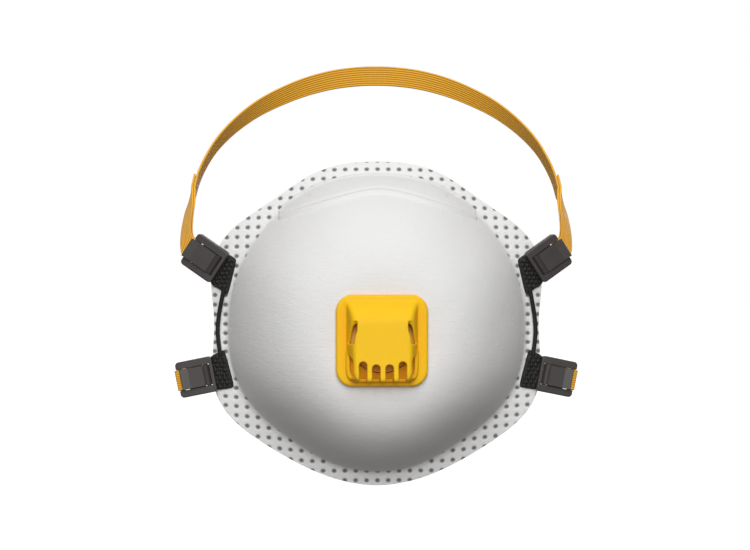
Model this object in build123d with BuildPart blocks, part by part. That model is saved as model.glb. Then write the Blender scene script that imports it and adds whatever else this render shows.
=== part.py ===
from build123d import *
import math
import os

import numpy as np

os.makedirs("parts", exist_ok=True)

# ------------------------------------------------------------------
# Driving dimensions (mm).  Front of the mask faces -Y, wearer is at +Y,
# +Z is up, the origin is the centre of the face opening.
# ------------------------------------------------------------------
VALVE_Z = -5.7            # height of the valve axis
HOLE_R = 13.0             # valve hole through every layer
FLAT_R = 22.0             # flat land round the valve
APEX_Y = -45.5            # front of the cup at the valve
DOME_DEG = 70.0           # steepness of the cup wall at its base
FILLET_LEG = 2.2          # legs of the fillet between cup wall and flange
CROWN_HANDLE = 19.0       # how far the dome stays flat past the land
WALL_HANDLE = 21.0        # how far the wall stays steep above the base

OUTER_T = 0.8             # outer shell on the dome
CLIP_GAP = 0.9            # room for the nose clip between shell and filter
FILTER_T = 0.8
INNER_T = 0.8
LAYER_GAP = 0.1
F_OUTER_T = 0.45          # the same layers where they are pressed into the flange
F_FILTER_T = 0.35
F_INNER_T = 0.45
F_GAP = 0.05

BUCKLE_LEN = 16.0         # buckle frame along its outward axis
BUCKLE_W = 15.3           # across
WIN_W = 9.2               # window across
BAR_IN = 5.8              # inner edge of the outer bar
WIN_IN = -6.6             # inner end of the window
FRAME_BACK = -1.7
FRAME_FRONT = 1.7
BAR_FRONT = 0.2
BAR_BACK = -1.0
HINGE_U = -4.8
HINGE_W = 0.0
TRUNNION_R = 1.0
BORE_R = 1.06
LEVER_W = 8.6
LEVER_BOT = 1.45
LEVER_T = 1.5

UP_C = (-73.1, 1.95, 28.0)    # upper left buckle centre
UP_DEG = 145.2            # its outward axis, degrees from +X towards +Z
UP_SLOPE = -0.26          # dy/dx of its plane, which follows the flange
LO_C = (-76.8, 4.0, -22.6)
LO_DEG = 191.7
LO_SLOPE = -0.18

STRAP_W = 8.8
STRAP_T = 0.9
STRAND_D = 1.8

# outline of the flange edge and of the dome base, right half (x, z)
EDGE = [(0, 69), (20.2, 66.5), (33.8, 60.2), (44.6, 52.7), (54.2, 45.3), (61, 41.3), (66.9, 35), (69.3, 28.9),
        (70.0, 20), (70.1, 13.3), (70.1, 0), (70.1, -13), (69.6, -22.9), (68, -31), (65.4, -36.6), (60.8, -41.4),
        (56.3, -45.2), (48.9, -50.2), (41.4, -55.1), (33.8, -59.4), (26.4, -62.6), (18.7, -65.7), (12.3, -67.2),
        (0, -68.6)]
BASE = [(0, 62.6), (14.9, 60.9), (26.1, 57.5), (37.8, 51.4), (45.5, 43.2), (51.0, 37), (55.0, 30.7), (59.3, 23),
        (62.6, 10.2), (63.5, -0.4), (63.1, -13.2), (60.9, -22), (57.3, -29.1), (52.6, -35.5), (47.8, -40.8),
        (43.1, -45), (32.9, -51.9), (24.4, -57), (18.3, -59.8), (9.1, -62.1), (0, -62.9)]
# degrees round from the top: y of the flange edge, tilt of the flange
RIM_Y = [(0, -1.0), (25, 0.0), (50, 2.5), (75, 4.6), (95, 5.0), (120, 4.2), (140, 2.6), (160, 0.8), (180, 0.0)]
RIM_TILT = [(0, 30), (25, 28), (50, 23), (75, 15), (95, 12), (120, 12), (140, 12), (160, 12), (180, 12)]


def cos_series(samples, order, ridge=1e-3):
    """Even periodic function through (angle, value) samples."""
    a = np.array([[math.cos(k * t) for k in range(order + 1)] for t, _ in samples])
    b = np.array([v for _, v in samples])
    reg = np.diag([0.0] + [ridge * k ** 2 for k in range(1, order + 1)])
    coef = np.linalg.solve(a.T @ a + reg, a.T @ b)
    return lambda t: float(sum(c * math.cos(k * t) for k, c in enumerate(coef)))


def polar(points):
    return [(math.atan2(x, z - VALVE_Z), math.hypot(x, z - VALVE_Z)) for x, z in points]


r_edge = cos_series(polar(EDGE), 9)
r_base = cos_series(polar(BASE), 9)
rim_y = cos_series([(math.radians(a), v) for a, v in RIM_Y], 5)
rim_tilt = cos_series([(math.radians(a), v) for a, v in RIM_TILT], 5)


def profile(theta):
    """Control points (r, y) of the four spans of the cup's section."""
    tilt = math.radians(rim_tilt(theta))
    steep = math.radians(DOME_DEG)
    rb, re = r_base(theta), r_edge(theta)
    kb = np.array([rb, rim_y(theta) - math.tan(tilt) * (re - rb)])
    dome_dir = np.array([math.cos(steep), math.sin(steep)])
    flange_dir = np.array([math.cos(tilt), math.sin(tilt)])
    p3 = kb - FILLET_LEG * dome_dir
    q = kb + FILLET_LEG * flange_dir
    flat = np.array([FLAT_R, APEX_Y])
    end = np.array([re, rim_y(theta)])
    return [
        [np.array([HOLE_R, APEX_Y]), flat],
        [flat, flat + (CROWN_HANDLE, 0.0), p3 - WALL_HANDLE * dome_dir, p3],
        [p3, kb, q],
        [q, end],
    ]


def bez(ctrl, s):
    """Point and derivative of a Bezier curve."""
    pts = [np.array(c, float) for c in ctrl]
    n = len(pts) - 1
    d = [n * (pts[i + 1] - pts[i]) for i in range(n)]
    def cast(p):
        p = list(p)
        while len(p) > 1:
            p = [(1 - s) * p[i] + s * p[i + 1] for i in range(len(p) - 1)]
        return p[0]
    return cast(pts), cast(d)


def base_point(theta, span, s):
    (r, y), (dr, dy) = bez(profile(theta)[span], s)
    e = np.array([math.sin(theta), 0.0, math.cos(theta)])
    p = r * e + np.array([0.0, y, VALVE_Z])
    return p, dr * e + np.array([0.0, dy, 0.0])


def surface(theta, span, s, dome, flange):
    """Point at a depth behind the front of the cup (depth on dome, on flange)."""
    p, ps = base_point(theta, span, s)
    h = 1e-4
    pt = (base_point(theta + h, span, s)[0] - base_point(theta - h, span, s)[0]) / (2 * h)
    n = np.cross(ps, pt)
    n /= np.linalg.norm(n)
    if n[1] < 0:
        n = -n
    k = {0: 0.0, 1: 0.0, 3: 1.0}.get(span, s * s * (3 - 2 * s))
    return p + n * (dome * (1 - k) + flange * k)


def bernstein(n):
    u = [(1 - math.cos(math.pi * i / n)) / 2 for i in range(n + 1)]
    m = np.array([[math.comb(n, k) * t ** k * (1 - t) ** (n - k) for k in range(n + 1)] for t in u])
    return u, np.linalg.inv(m)


def patch(fn, n, m):
    """Bezier face through fn(u, v) on an (n+1) x (m+1) grid."""
    us, bu = bernstein(n)
    vs, bv = bernstein(m)
    data = np.array([[fn(u, v) for v in vs] for u in us])
    ctrl = np.einsum("ia,abk,jb->ijk", bu, data, bv)
    return Face.make_bezier_surface([[Vector(*map(float, c)) for c in row] for row in ctrl])


def closed_solid(faces):
    body = Solid(Shell(faces))
    if body.volume < 0:
        body = Solid(Shell([-f for f in faces]))
    return body


SECTORS = 8


def cup_layer(front, back):
    """Closed annular layer between two depths, each (on dome, on flange)."""
    faces = []
    for i in range(SECTORS):
        a0, a1 = 2 * math.pi * i / SECTORS, 2 * math.pi * (i + 1) / SECTORS
        for span, deg in ((0, 1), (1, 7), (2, 5), (3, 2)):
            for depth in (front, back):
                faces.append(patch(lambda u, v: surface(a0 + (a1 - a0) * u, span, v, *depth), 9, deg))
        for span, s in ((0, 0.0), (3, 1.0)):
            faces.append(patch(lambda u, v: (1 - v) * surface(a0 + (a1 - a0) * u, span, s, *front)
                               + v * surface(a0 + (a1 - a0) * u, span, s, *back), 9, 1))
    return closed_solid(faces)


def locate(x, z):
    """Angle, span and parameter of the cup's section above (x, z)."""
    theta = math.atan2(x, z - VALVE_Z)
    r = math.hypot(x, z - VALVE_Z)
    spans = profile(theta)
    for i, ctrl in enumerate(spans):
        if r <= ctrl[-1][0] or i == 3:
            if i == 3:
                return theta, 3, (r - ctrl[0][0]) / (ctrl[-1][0] - ctrl[0][0])
            lo, hi = 0.0, 1.0
            for _ in range(50):
                mid = (lo + hi) / 2
                if bez(ctrl, mid)[0][0] < r:
                    lo = mid
                else:
                    hi = mid
            return theta, i, (lo + hi) / 2


def on_cup(x, z, depth):
    return surface(*locate(x, z), depth, depth)


def conformal_plate(region, d0, d1, n=8, m=6):
    """Plate that follows the cup; region maps (u, v) to (x, z)."""
    def at(u, v, w):
        x, z = region(u, v)
        return on_cup(x, z, d0 + (d1 - d0) * w)
    faces = [patch(lambda u, v: at(u, v, 0.0), n, m), patch(lambda u, v: at(u, v, 1.0), n, m)]
    for e in (0.0, 1.0):
        faces.append(patch(lambda u, w: at(u, e, w), n, 1))
        faces.append(patch(lambda v, w: at(e, v, w), m, 1))
    return closed_solid(faces)


# ------------------------------------------------------------------
# cup layers
# ------------------------------------------------------------------
d1 = (OUTER_T, F_OUTER_T)
d2 = (d1[0] + CLIP_GAP, d1[1] + F_GAP)
d3 = (d2[0] + FILTER_T, d2[1] + F_FILTER_T)
d4 = (d3[0] + LAYER_GAP, d3[1] + F_GAP)
d5 = (d4[0] + INNER_T, d4[1] + F_INNER_T)
CUP_T = d5[0]

with BuildPart() as outer_shell:
    add(cup_layer((0.0, 0.0), d1))

with BuildPart() as filter_layer:
    add(cup_layer(d2, d3))

with BuildPart() as inner_shell:
    add(cup_layer(d4, d5))


def band_z(x):
    """Centre line of the nose band."""
    return 58.4 - 0.40 * (math.sqrt(x * x + 64.0) - 8.0)


CLIP_HALF = 41.0
with BuildPart() as nose_clip:
    add(conformal_plate(lambda u, v: ((2 * u - 1) * CLIP_HALF, band_z((2 * u - 1) * CLIP_HALF) + (v - 0.5) * 4.6),
                        OUTER_T + 0.1, OUTER_T + CLIP_GAP - 0.1, n=16))

FOAM_HALF = 40.0
with BuildPart() as nose_foam:
    add(conformal_plate(lambda u, v: ((2 * u - 1) * FOAM_HALF, band_z((2 * u - 1) * FOAM_HALF) - 3.5 + (v - 0.5) * 9.0),
                        CUP_T + 0.1, CUP_T + 3.8, n=16))

# ------------------------------------------------------------------
# buckles: frame and lever in a local frame, u outward, w forward
# ------------------------------------------------------------------


def buckle_plane(centre, deg, slope):
    a = math.radians(deg)
    return Plane(origin=centre, x_dir=(math.cos(a), slope * math.cos(a), math.sin(a)), z_dir=(slope, -1, 0))


def make_frame(plane):
    with BuildPart() as frame:
        with BuildSketch(plane.offset(FRAME_BACK)):
            RectangleRounded(BUCKLE_LEN, BUCKLE_W, 1.6)
        extrude(amount=FRAME_FRONT - FRAME_BACK)
        # soft outer edges front and back
        fillet(frame.faces().sort_by(Axis.Y)[0].edges(), 0.5)
        # window with the lever and the strap in it, open at the outer end
        with BuildSketch(plane.offset(FRAME_BACK - 1)):
            with Locations(((BUCKLE_LEN / 2 + 2 + WIN_IN) / 2, 0)):
                Rectangle(BUCKLE_LEN / 2 + 2 - WIN_IN, WIN_W)
        extrude(amount=6, mode=Mode.SUBTRACT)
        # the outer bar is thinner than the rails, so the strap has room
        bar = Plane(origin=plane.from_local_coords((0, -WIN_W / 2 - 0.4, 0)), x_dir=plane.x_dir, z_dir=plane.y_dir)
        with BuildSketch(bar):
            with Locations(((BAR_IN + BUCKLE_LEN / 2) / 2, -(BAR_FRONT + BAR_BACK) / 2)):
                RectangleRounded(BUCKLE_LEN / 2 - BAR_IN, BAR_FRONT - BAR_BACK, 0.5)
        extrude(amount=WIN_W + 0.8)
        # blind bores for the lever's trunnions
        side = Plane(origin=plane.from_local_coords((HINGE_U, -WIN_W / 2 - 1.5, HINGE_W)), x_dir=plane.x_dir,
                     z_dir=plane.y_dir)
        with BuildSketch(side):
            Circle(BORE_R)
        extrude(amount=WIN_W + 3.0, mode=Mode.SUBTRACT)
        # thin floor behind the lever, clear of the strap's way through the window
        with BuildSketch(plane.offset(FRAME_BACK)):
            with Locations((0.5, 0)):
                Rectangle(7.2, WIN_W + 0.6)
        extrude(amount=0.7)
    return frame.part


def make_lever(plane, short=0.0):
    lw = LEVER_W / 2
    mid = Plane(origin=plane.origin, x_dir=plane.x_dir, z_dir=plane.y_dir)
    # on this plane local x is u and local y is -w
    with BuildPart() as lever:
        with BuildSketch(mid.offset(-lw)):
            with BuildLine():
                Polyline((HINGE_U - 0.5, -HINGE_W - 0.2), (HINGE_U - 1.2, -HINGE_W - 0.8),
                         (HINGE_U - 0.6, -HINGE_W - 1.5), (HINGE_U + 0.35, -HINGE_W - 2.05),
                         (HINGE_U + 1.05, -(LEVER_BOT + LEVER_T)), (5.0 - short, -(LEVER_BOT + LEVER_T) - 0.1),
                         (8.3 - short, -(LEVER_BOT + LEVER_T) - 0.8), (8.7 - short, -(LEVER_BOT + LEVER_T) - 0.2),
                         (8.5 - short, -(LEVER_BOT + LEVER_T) + 0.9), (6.8 - short, -LEVER_BOT), (HINGE_U + 2.4, -LEVER_BOT),
                         (HINGE_U + 1.0, -HINGE_W), (HINGE_U - 0.5, -HINGE_W - 0.2))
            make_face()
        extrude(amount=LEVER_W)
        # barrel round the hinge line and the trunnions
        with BuildSketch(mid.offset(-lw)):
            with Locations((HINGE_U, -HINGE_W)):
                Circle(1.45)
        extrude(amount=LEVER_W)
        with BuildSketch(mid.offset(-WIN_W / 2 - 1.2)):
            with Locations((HINGE_U, -HINGE_W)):
                Circle(TRUNNION_R)
        extrude(amount=WIN_W + 2.4)
    return lever.part


up_plane = buckle_plane(UP_C, UP_DEG, UP_SLOPE)
lo_plane = buckle_plane(LO_C, LO_DEG, LO_SLOPE)

with BuildPart() as upper_left_buckle_frame:
    add(make_frame(up_plane))
with BuildPart() as lower_left_buckle_frame:
    add(make_frame(lo_plane))
with BuildPart() as upper_left_buckle_lever:
    add(make_lever(up_plane))
with BuildPart() as lower_left_buckle_lever:
    add(make_lever(lo_plane, 2.4))

# ------------------------------------------------------------------
# link strand: round elastic thread between the two pads of a side
# ------------------------------------------------------------------
STRAND_ROUTE = [(-64.6, 15.5), (-66.2, 8.4), (-67.4, 1.3), (-67.6, -6.0), (-66.4, -13.4)]
route = [Vector(*on_cup(x, z, -1.35)) for x, z in STRAND_ROUTE]
runs = [(route[i + 1] - route[i]).length for i in range(len(route) - 1)]
radii = []
for i in range(1, len(route) - 1):
    turn = math.radians((route[i] - route[i - 1]).get_angle(route[i + 1] - route[i]))
    radii.append(0.45 * min(runs[i - 1], runs[i]) / math.tan(turn / 2))
print("strand radii", [round(r, 1) for r in radii], "runs", [round(r, 1) for r in runs])
with BuildPart() as left_link_strand:
    with BuildLine() as strand_line:
        FilletPolyline(*route, radius=radii)
    with BuildSketch(Plane(origin=route[0], z_dir=route[1] - route[0])):
        Circle(STRAND_D / 2)
    sweep()
print("strand volume", left_link_strand.part.volume, "section x length",
      math.pi * STRAND_D ** 2 / 4 * sum(e.length for e in strand_line.edges()))

# ------------------------------------------------------------------
# pads: soft studs plates on the flange, cut back to the frames
# ------------------------------------------------------------------
def in_plane(plane, u, v):
    p = plane.from_local_coords((u, v, 0))
    return (p.X, p.Z)


UP_PAD = [in_plane(up_plane, -6.9, -7.3), in_plane(up_plane, -11.9, -7.3), (-63.5, 12.2), in_plane(up_plane, -6.9, 7.2)]
LO_PAD = [in_plane(lo_plane, -6.9, -7.3), (-65.0, -10.8), (-60.6, -26.9), in_plane(lo_plane, -6.9, 7.3)]
print("pads", UP_PAD, LO_PAD)


def make_pad(corners, plane, frame_part, strand_part):
    def region(u, v):
        a, b, c, d = corners
        return tuple((1 - u) * (1 - v) * a[i] + u * (1 - v) * b[i] + u * v * c[i] + (1 - u) * v * d[i] for i in (0, 1))
    with BuildPart() as pad:
        add(conformal_plate(region, -0.15, -2.6, n=8, m=6))
        add(frame_part, mode=Mode.SUBTRACT)
        add(strand_part, mode=Mode.SUBTRACT)
        # clear of the lever in the window
        with BuildSketch(plane.offset(-6)):
            with Locations((WIN_IN - 0.3 + 5, 0)):
                Rectangle(10, WIN_W)
        extrude(amount=14, mode=Mode.SUBTRACT)
    return pad.part


with BuildPart() as upper_left_pad:
    add(make_pad(UP_PAD, up_plane, upper_left_buckle_frame.part, left_link_strand.part))
with BuildPart() as lower_left_pad:
    add(make_pad(LO_PAD, lo_plane, lower_left_buckle_frame.part, left_link_strand.part))

# ------------------------------------------------------------------
# straps: flat ribbons through stations (centre, width direction, normal)
# ------------------------------------------------------------------


def ribbon(stations, width, thick):
    rings = []
    for c, wd, n in stations:
        c, wd, n = np.array(c, float), np.array(wd, float), np.array(n, float)
        wd = wd / np.linalg.norm(wd)
        n = n - wd * float(n @ wd)
        n = n / np.linalg.norm(n)
        rings.append([c + wd * width / 2 * a + n * thick / 2 * b for a, b in ((-1, -1), (1, -1), (1, 1), (-1, 1))])
    v = [[Vector(*map(float, p)) for p in ring] for ring in rings]
    faces = [Face.make_bezier_surface([[v[0][0], v[0][1]], [v[0][3], v[0][2]]]),
             Face.make_bezier_surface([[v[-1][0], v[-1][1]], [v[-1][3], v[-1][2]]])]
    for a, b in zip(v[:-1], v[1:]):
        for k in range(4):
            j = (k + 1) % 4
            faces.append(Face.make_bezier_surface([[a[k], a[j]], [b[k], b[j]]]))
    return closed_solid(faces)


def catmull(points, step):
    """Evenly spaced points on a centripetal spline through points."""
    pts = [np.array(p, float) for p in points]
    pts = [2 * pts[0] - pts[1]] + pts + [2 * pts[-1] - pts[-2]]
    out = []
    for i in range(1, len(pts) - 2):
        p0, p1, p2, p3 = pts[i - 1:i + 3]
        t = [0.0]
        for a, b in ((p0, p1), (p1, p2), (p2, p3)):
            t.append(t[-1] + max(np.linalg.norm(b - a), 1e-6) ** 0.5)
        for k in range(24):
            u = t[1] + (t[2] - t[1]) * k / 24
            a1 = (t[1] - u) / (t[1] - t[0]) * p0 + (u - t[0]) / (t[1] - t[0]) * p1
            a2 = (t[2] - u) / (t[2] - t[1]) * p1 + (u - t[1]) / (t[2] - t[1]) * p2
            a3 = (t[3] - u) / (t[3] - t[2]) * p2 + (u - t[2]) / (t[3] - t[2]) * p3
            b1 = (t[2] - u) / (t[2] - t[0]) * a1 + (u - t[0]) / (t[2] - t[0]) * a2
            b2 = (t[3] - u) / (t[3] - t[1]) * a2 + (u - t[1]) / (t[3] - t[1]) * a3
            out.append((t[2] - u) / (t[2] - t[1]) * b1 + (u - t[1]) / (t[2] - t[1]) * b2)
    out.append(pts[-2])
    length = [0.0]
    for a, b in zip(out[:-1], out[1:]):
        length.append(length[-1] + float(np.linalg.norm(b - a)))
    n = max(2, round(length[-1] / step))
    res = []
    for i in range(n + 1):
        s = length[-1] * i / n
        k = min(max(int(np.searchsorted(length, s)), 1), len(length) - 1)
        f = (s - length[k - 1]) / (length[k] - length[k - 1])
        res.append(out[k - 1] * (1 - f) + out[k] * f)
    return res, length[-1]


def unit(v):
    v = np.array(v, float)
    return v / np.linalg.norm(v)


def slerp_frame(f0, f1, s):
    """Blend two orthonormal frames (travel, width, normal) by one rotation."""
    m0, m1 = np.array(f0).T, np.array(f1).T
    r = m1 @ m0.T
    ang = math.acos(max(-1.0, min(1.0, (np.trace(r) - 1) / 2)))
    if ang < 1e-6:
        return f0
    ax = np.array([r[2, 1] - r[1, 2], r[0, 2] - r[2, 0], r[1, 0] - r[0, 1]]) / (2 * math.sin(ang))
    a = ang * s
    k = np.array([[0, -ax[2], ax[1]], [ax[2], 0, -ax[0]], [-ax[1], ax[0], 0]])
    rot = np.eye(3) + math.sin(a) * k + (1 - math.cos(a)) * (k @ k)
    m = rot @ m0
    return m[:, 0], m[:, 1], m[:, 2]


def local(plane, u, w, v=0.0):
    p = plane.from_local_coords((u, v, w))
    return np.array([p.X, p.Y, p.Z])


# the crown strap's arch, right half mirrored: (x, z) where it would stand if
# it were upright, and how it leans back towards the crown of the head
ARCH = [(-77.2, 56.0), (-75.5, 62.0), (-72.5, 68.6), (-67.8, 76.0), (-60.4, 83.8), (-50.6, 91.2), (-40.0, 96.7),
        (-28.9, 101.0), (-17.2, 103.9), (-5.5, 105.2), (0, 105.3)]
VIEW = 950.0              # the arch widens by this perspective length as it leans back
LEAN_TOP = 60.0

LEAN_SIDE = 0.036


def lean(z):
    return 4.0 + (LEAN_TOP - 4.0) * max(0.0, (z - 33.0) / (105.8 - 33.0))


def arch_point(x, z):
    y = lean(z)
    k = 1 + y / VIEW
    return np.array([x * k, y, 20.8 + (z - 20.8) * k])


half = [arch_point(x, z) for x, z in ARCH]
arch_pts = half + [p * (-1, 1, 1) for p in reversed(half[:-1])]
arch_mid, arch_len = catmull(arch_pts, 6.5)

u_dir = np.array([up_plane.x_dir.X, up_plane.x_dir.Y, up_plane.x_dir.Z])
v_up = np.array([up_plane.y_dir.X, up_plane.y_dir.Y, up_plane.y_dir.Z])
if v_up[2] < 0:
    v_up = -v_up
back = -np.array([up_plane.z_dir.X, up_plane.z_dir.Y, up_plane.z_dir.Z])

# width direction turns from in the side plane at the ends to facing the head at the top
arch_st = []
n_arch = len(arch_mid)
for i, c in enumerate(arch_mid):
    a, b = arch_mid[max(i - 1, 0)], arch_mid[min(i + 1, n_arch - 1)]
    t = unit(b - a)
    # outward normal of the arch: away from the middle of the head
    face = math.radians(78 - 44 * min(1.0, abs(c[0]) / 74.0) ** 2)
    plane_n = unit((0.0, -math.cos(face), math.sin(face)))
    wd = unit(plane_n - t * float(plane_n @ t))
    n = np.cross(t, wd)
    arch_st.append([c, wd, n])

t_up = unit(arch_mid[1] - arch_mid[0])
wd_up = arch_st[0][1]
f_top = (t_up, wd_up, np.cross(t_up, wd_up))
f_buckle = (u_dir, v_up, np.cross(u_dir, v_up))
BACK_W = BAR_BACK - 0.1 - STRAP_T / 2
FRONT_W = BAR_FRONT + 0.1 + STRAP_T / 2
p_low = local(up_plane, 8.6, BACK_W)
p_top = arch_mid[0]
low_ctrl = [p_low, p_low + u_dir * 3.2, p_top - t_up * 13.0, p_top]
riser = []                # from the buckle up to the arch, load strand
N_RISE = 16
for i in range(N_RISE + 1):
    s = i / N_RISE
    c, dc = bez(low_ctrl, s)
    k = s ** 3
    fr = slerp_frame(f_buckle, f_top, k)
    riser.append((c, fr[1], fr[2], s))

GAP_LOW = FRONT_W - BACK_W
GAP_TOP = STRAP_T + 0.12
tail_st = [(c - n * (GAP_LOW + (GAP_TOP - GAP_LOW) * min(1.0, s / 0.7)), wd, n) for c, wd, n, s in riser]
# the tail carries on a little along the arch
for i in (1, 2):
    c, wd, n = arch_st[i]
    if i == 1:
        tail_st.append((c - n * GAP_TOP, wd, n))

left_st = list(reversed(tail_st))
# loop through the window, round the outer bar
loop_r = (GAP_LOW) / 2
cx = BAR_IN - 0.1 - STRAP_T / 2 + loop_r
for deg in range(90, 271, 20):
    a = math.radians(deg)
    c = local(up_plane, cx + loop_r * math.cos(a), (FRONT_W + BACK_W) / 2 + loop_r * math.sin(a))
    n = unit(u_dir * (-math.cos(a)) + back * math.sin(a))
    left_st.append((c, v_up, n))
left_st += [(c, wd, n) for c, wd, n, s in riser]
mid_st = [tuple(s) for s in arch_st[1:-1]]
right_st = [(np.array(c) * (-1, 1, 1), np.array(wd) * (-1, 1, 1), np.array(n) * (-1, 1, 1))
            for c, wd, n in reversed(left_st)]
# mirrored stations keep the same handed ring when the normal is turned round
right_st = [(c, wd, -n) for c, wd, n in right_st]
# the arch leans a little to the right as it goes back
crown_stations = [(np.array(c) + (LEAN_SIDE * max(0.0, c[1] - 6.0), 0, 0), wd, n)
                  for c, wd, n in left_st + mid_st + right_st]


def fix_rings(stations):
    """Make width and normal of neighbouring stations point the same way."""
    out = [stations[0]]
    for c, wd, n in stations[1:]:
        pw, pn = np.array(out[-1][1]), np.array(out[-1][2])
        wd, n = np.array(wd), np.array(n)
        if float(pw @ wd) < 0:
            wd = -wd
        if float(pn @ n) < 0:
            n = -n
        out.append((c, wd, n))
    return out


crown_stations = fix_rings(crown_stations)
with BuildPart() as crown_strap:
    add(ribbon(crown_stations, STRAP_W, STRAP_T))
crown_len = sum(float(np.linalg.norm(np.array(b[0]) - np.array(a[0]))) for a, b in
                zip(crown_stations[:-1], crown_stations[1:]))
print("crown strap length", round(crown_len, 1))

# neck strap: over the bar, round its outer edge and back behind the neck
lu = np.array([lo_plane.x_dir.X, lo_plane.x_dir.Y, lo_plane.x_dir.Z])
lv = np.array([lo_plane.y_dir.X, lo_plane.y_dir.Y, lo_plane.y_dir.Z])
if lv[2] < 0:
    lv = -lv
fwd = np.array([lo_plane.z_dir.X, lo_plane.z_dir.Y, lo_plane.z_dir.Z])
neck_left = [
    (local(lo_plane, 1.2, FRONT_W), lv, fwd),
    (local(lo_plane, 7.5, FRONT_W), lv, fwd),
    (local(lo_plane, 8.05, FRONT_W - 0.08), lv, unit(fwd + 0.35 * lu)),
    (local(lo_plane, 8.45, FRONT_W - 0.40), lv, unit(fwd + 1.2 * lu)),
    (local(lo_plane, 8.6, FRONT_W - 0.95), lv, unit(0.2 * fwd + lu)),
    (local(lo_plane, 8.6, -2.5), lv, lu),
]
p0 = local(lo_plane, 8.6, -4.0)
NECK = [p0, p0 + (0.2, 8, 0.3), (-83.6, 28, -23.4), (-79.6, 50, -23.6), (-70.8, 72, -24.6), (-57, 91, -26.4),
        (-39.5, 104, -28.2), (-20, 110.5, -29.3), (0, 112.5, -29.7)]
neck_half, _ = catmull([np.array(p, float) for p in NECK] + [np.array((20, 110.5, -29.3), float)], 6.0)
neck_half = [p for p in neck_half if p[0] < -0.5]
neck_free = []
for i, c in enumerate(neck_half):
    a, b = neck_half[max(i - 1, 0)], (neck_half[i + 1] if i + 1 < len(neck_half) else neck_half[i] + (6, 0.3, 0))
    t = unit(b - a)
    k = min(1.0, i / 5)
    up = unit(lv * (1 - k) + np.array([0, -0.05, 1.0]) * k)
    wd = unit(up - t * float(up @ t))
    neck_free.append((c, wd, np.cross(t, wd)))
neck_left += neck_free
neck_right = [(np.array(c) * (-1, 1, 1), np.array(wd) * (-1, 1, 1), np.array(n) * (-1, 1, 1))
              for c, wd, n in reversed(neck_left)]
neck_stations = fix_rings(neck_left + [((0, 112.5, -29.7), (0, -0.05, 1), (0, 1, 0.05))] + neck_right)
with BuildPart() as neck_strap:
    add(ribbon(neck_stations, STRAP_W, STRAP_T))
neck_len = sum(float(np.linalg.norm(np.array(b[0]) - np.array(a[0]))) for a, b in
               zip(neck_stations[:-1], neck_stations[1:]))
print("neck strap length", round(neck_len, 1))

# ------------------------------------------------------------------
# exhalation valve, local frame: x to the right, y up, z forward
# ------------------------------------------------------------------
vp = Plane(origin=(0, APEX_Y, VALVE_Z), x_dir=(1, 0, 0), z_dir=(0, -1, 0))
SEAT_TOP = 3.4
TUBE_R = 12.85
TUBE_IN = 11.2
FLAP_R = 12.2
FLAP_T = 0.45
FLAP_PIN = (3.8, 9.42)      # the flap's hinge line, forward and up of the valve centre
FLAP_CUT = 9.6            # straight top edge of the flap, its hinge line

with BuildPart() as valve_seat:
    with BuildSketch(vp.offset(-CUP_T - 1.3)):
        Circle(16.6)
        Circle(TUBE_IN, mode=Mode.SUBTRACT)
    extrude(amount=1.2)
    with BuildSketch(vp.offset(-CUP_T - 0.2)):
        Circle(TUBE_R)
        Circle(TUBE_IN, mode=Mode.SUBTRACT)
    extrude(amount=CUP_T + 0.2 + SEAT_TOP)
    with BuildSketch(vp.offset(0.8)):
        Rectangle(2 * TUBE_IN + 0.6, 1.3)
        Rectangle(1.3, 2 * TUBE_IN + 0.6)
        Circle(2.6)
    extrude(amount=1.8)

with BuildPart() as valve_diaphragm:
    with BuildSketch(vp.offset(SEAT_TOP + 0.05)) as flap_sk:
        Circle(FLAP_R)
        with Locations((0, FLAP_CUT + 10)):
            Rectangle(40, 20, mode=Mode.SUBTRACT)
    extrude(amount=FLAP_T)
    # bead along the hinge line, held by the clip
    with BuildSketch(Plane(origin=(-7.2, APEX_Y - FLAP_PIN[0], VALVE_Z + FLAP_PIN[1]), x_dir=(0, 1, 0), z_dir=(1, 0, 0))):
        Circle(0.35)
    extrude(amount=14.4)

with BuildPart() as diaphragm_clip:
    with BuildSketch(vp.offset(SEAT_TOP + 0.03)):
        Circle(FLAP_R + 0.5)
        with Locations((0, FLAP_CUT + 0.3 - 20)):
            Rectangle(40, 40, mode=Mode.SUBTRACT)
    extrude(amount=1.3)

# cover: square base with a two tier hood, side view (forward w, height h)
BASE_HALF, BASE_CORNER, BASE_T = 18.7, 6.9, 2.3
CAP_HALF, HOOD_HALF, COVER_WALL = 14.6, 11.9, 1.4
HOOD = [(2.4, 16.0), (5.0, 14.6), (7.4, 12.4), (9.2, 9.0), (10.5, 5.0), (11.3, 0.0), (12.0, -6.0), (12.4, -11.5), (12.3, -15.6)]


def hood_profile(drop, inset, low):
    pts = [(max(w - drop - inset, 0.1), h - inset) for w, h in HOOD]
    with BuildSketch(Plane.YZ, mode=Mode.PRIVATE) as sk:
        with BuildLine():
            top = [(APEX_Y - w, VALVE_Z + h) for w, h in pts]
            last = top[-1]
            corner = (APEX_Y - (12.3 - drop - inset) + 1.2, VALVE_Z - 17.2 + inset)
            Spline(*top)
            Line(last, corner)
            Line(corner, (APEX_Y - low, VALVE_Z - 17.2 + inset))
            Line((APEX_Y - low, VALVE_Z - 17.2 + inset), (APEX_Y - low, top[0][1]))
            Line((APEX_Y - low, top[0][1]), top[0])
        make_face()
    return sk.sketch


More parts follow.
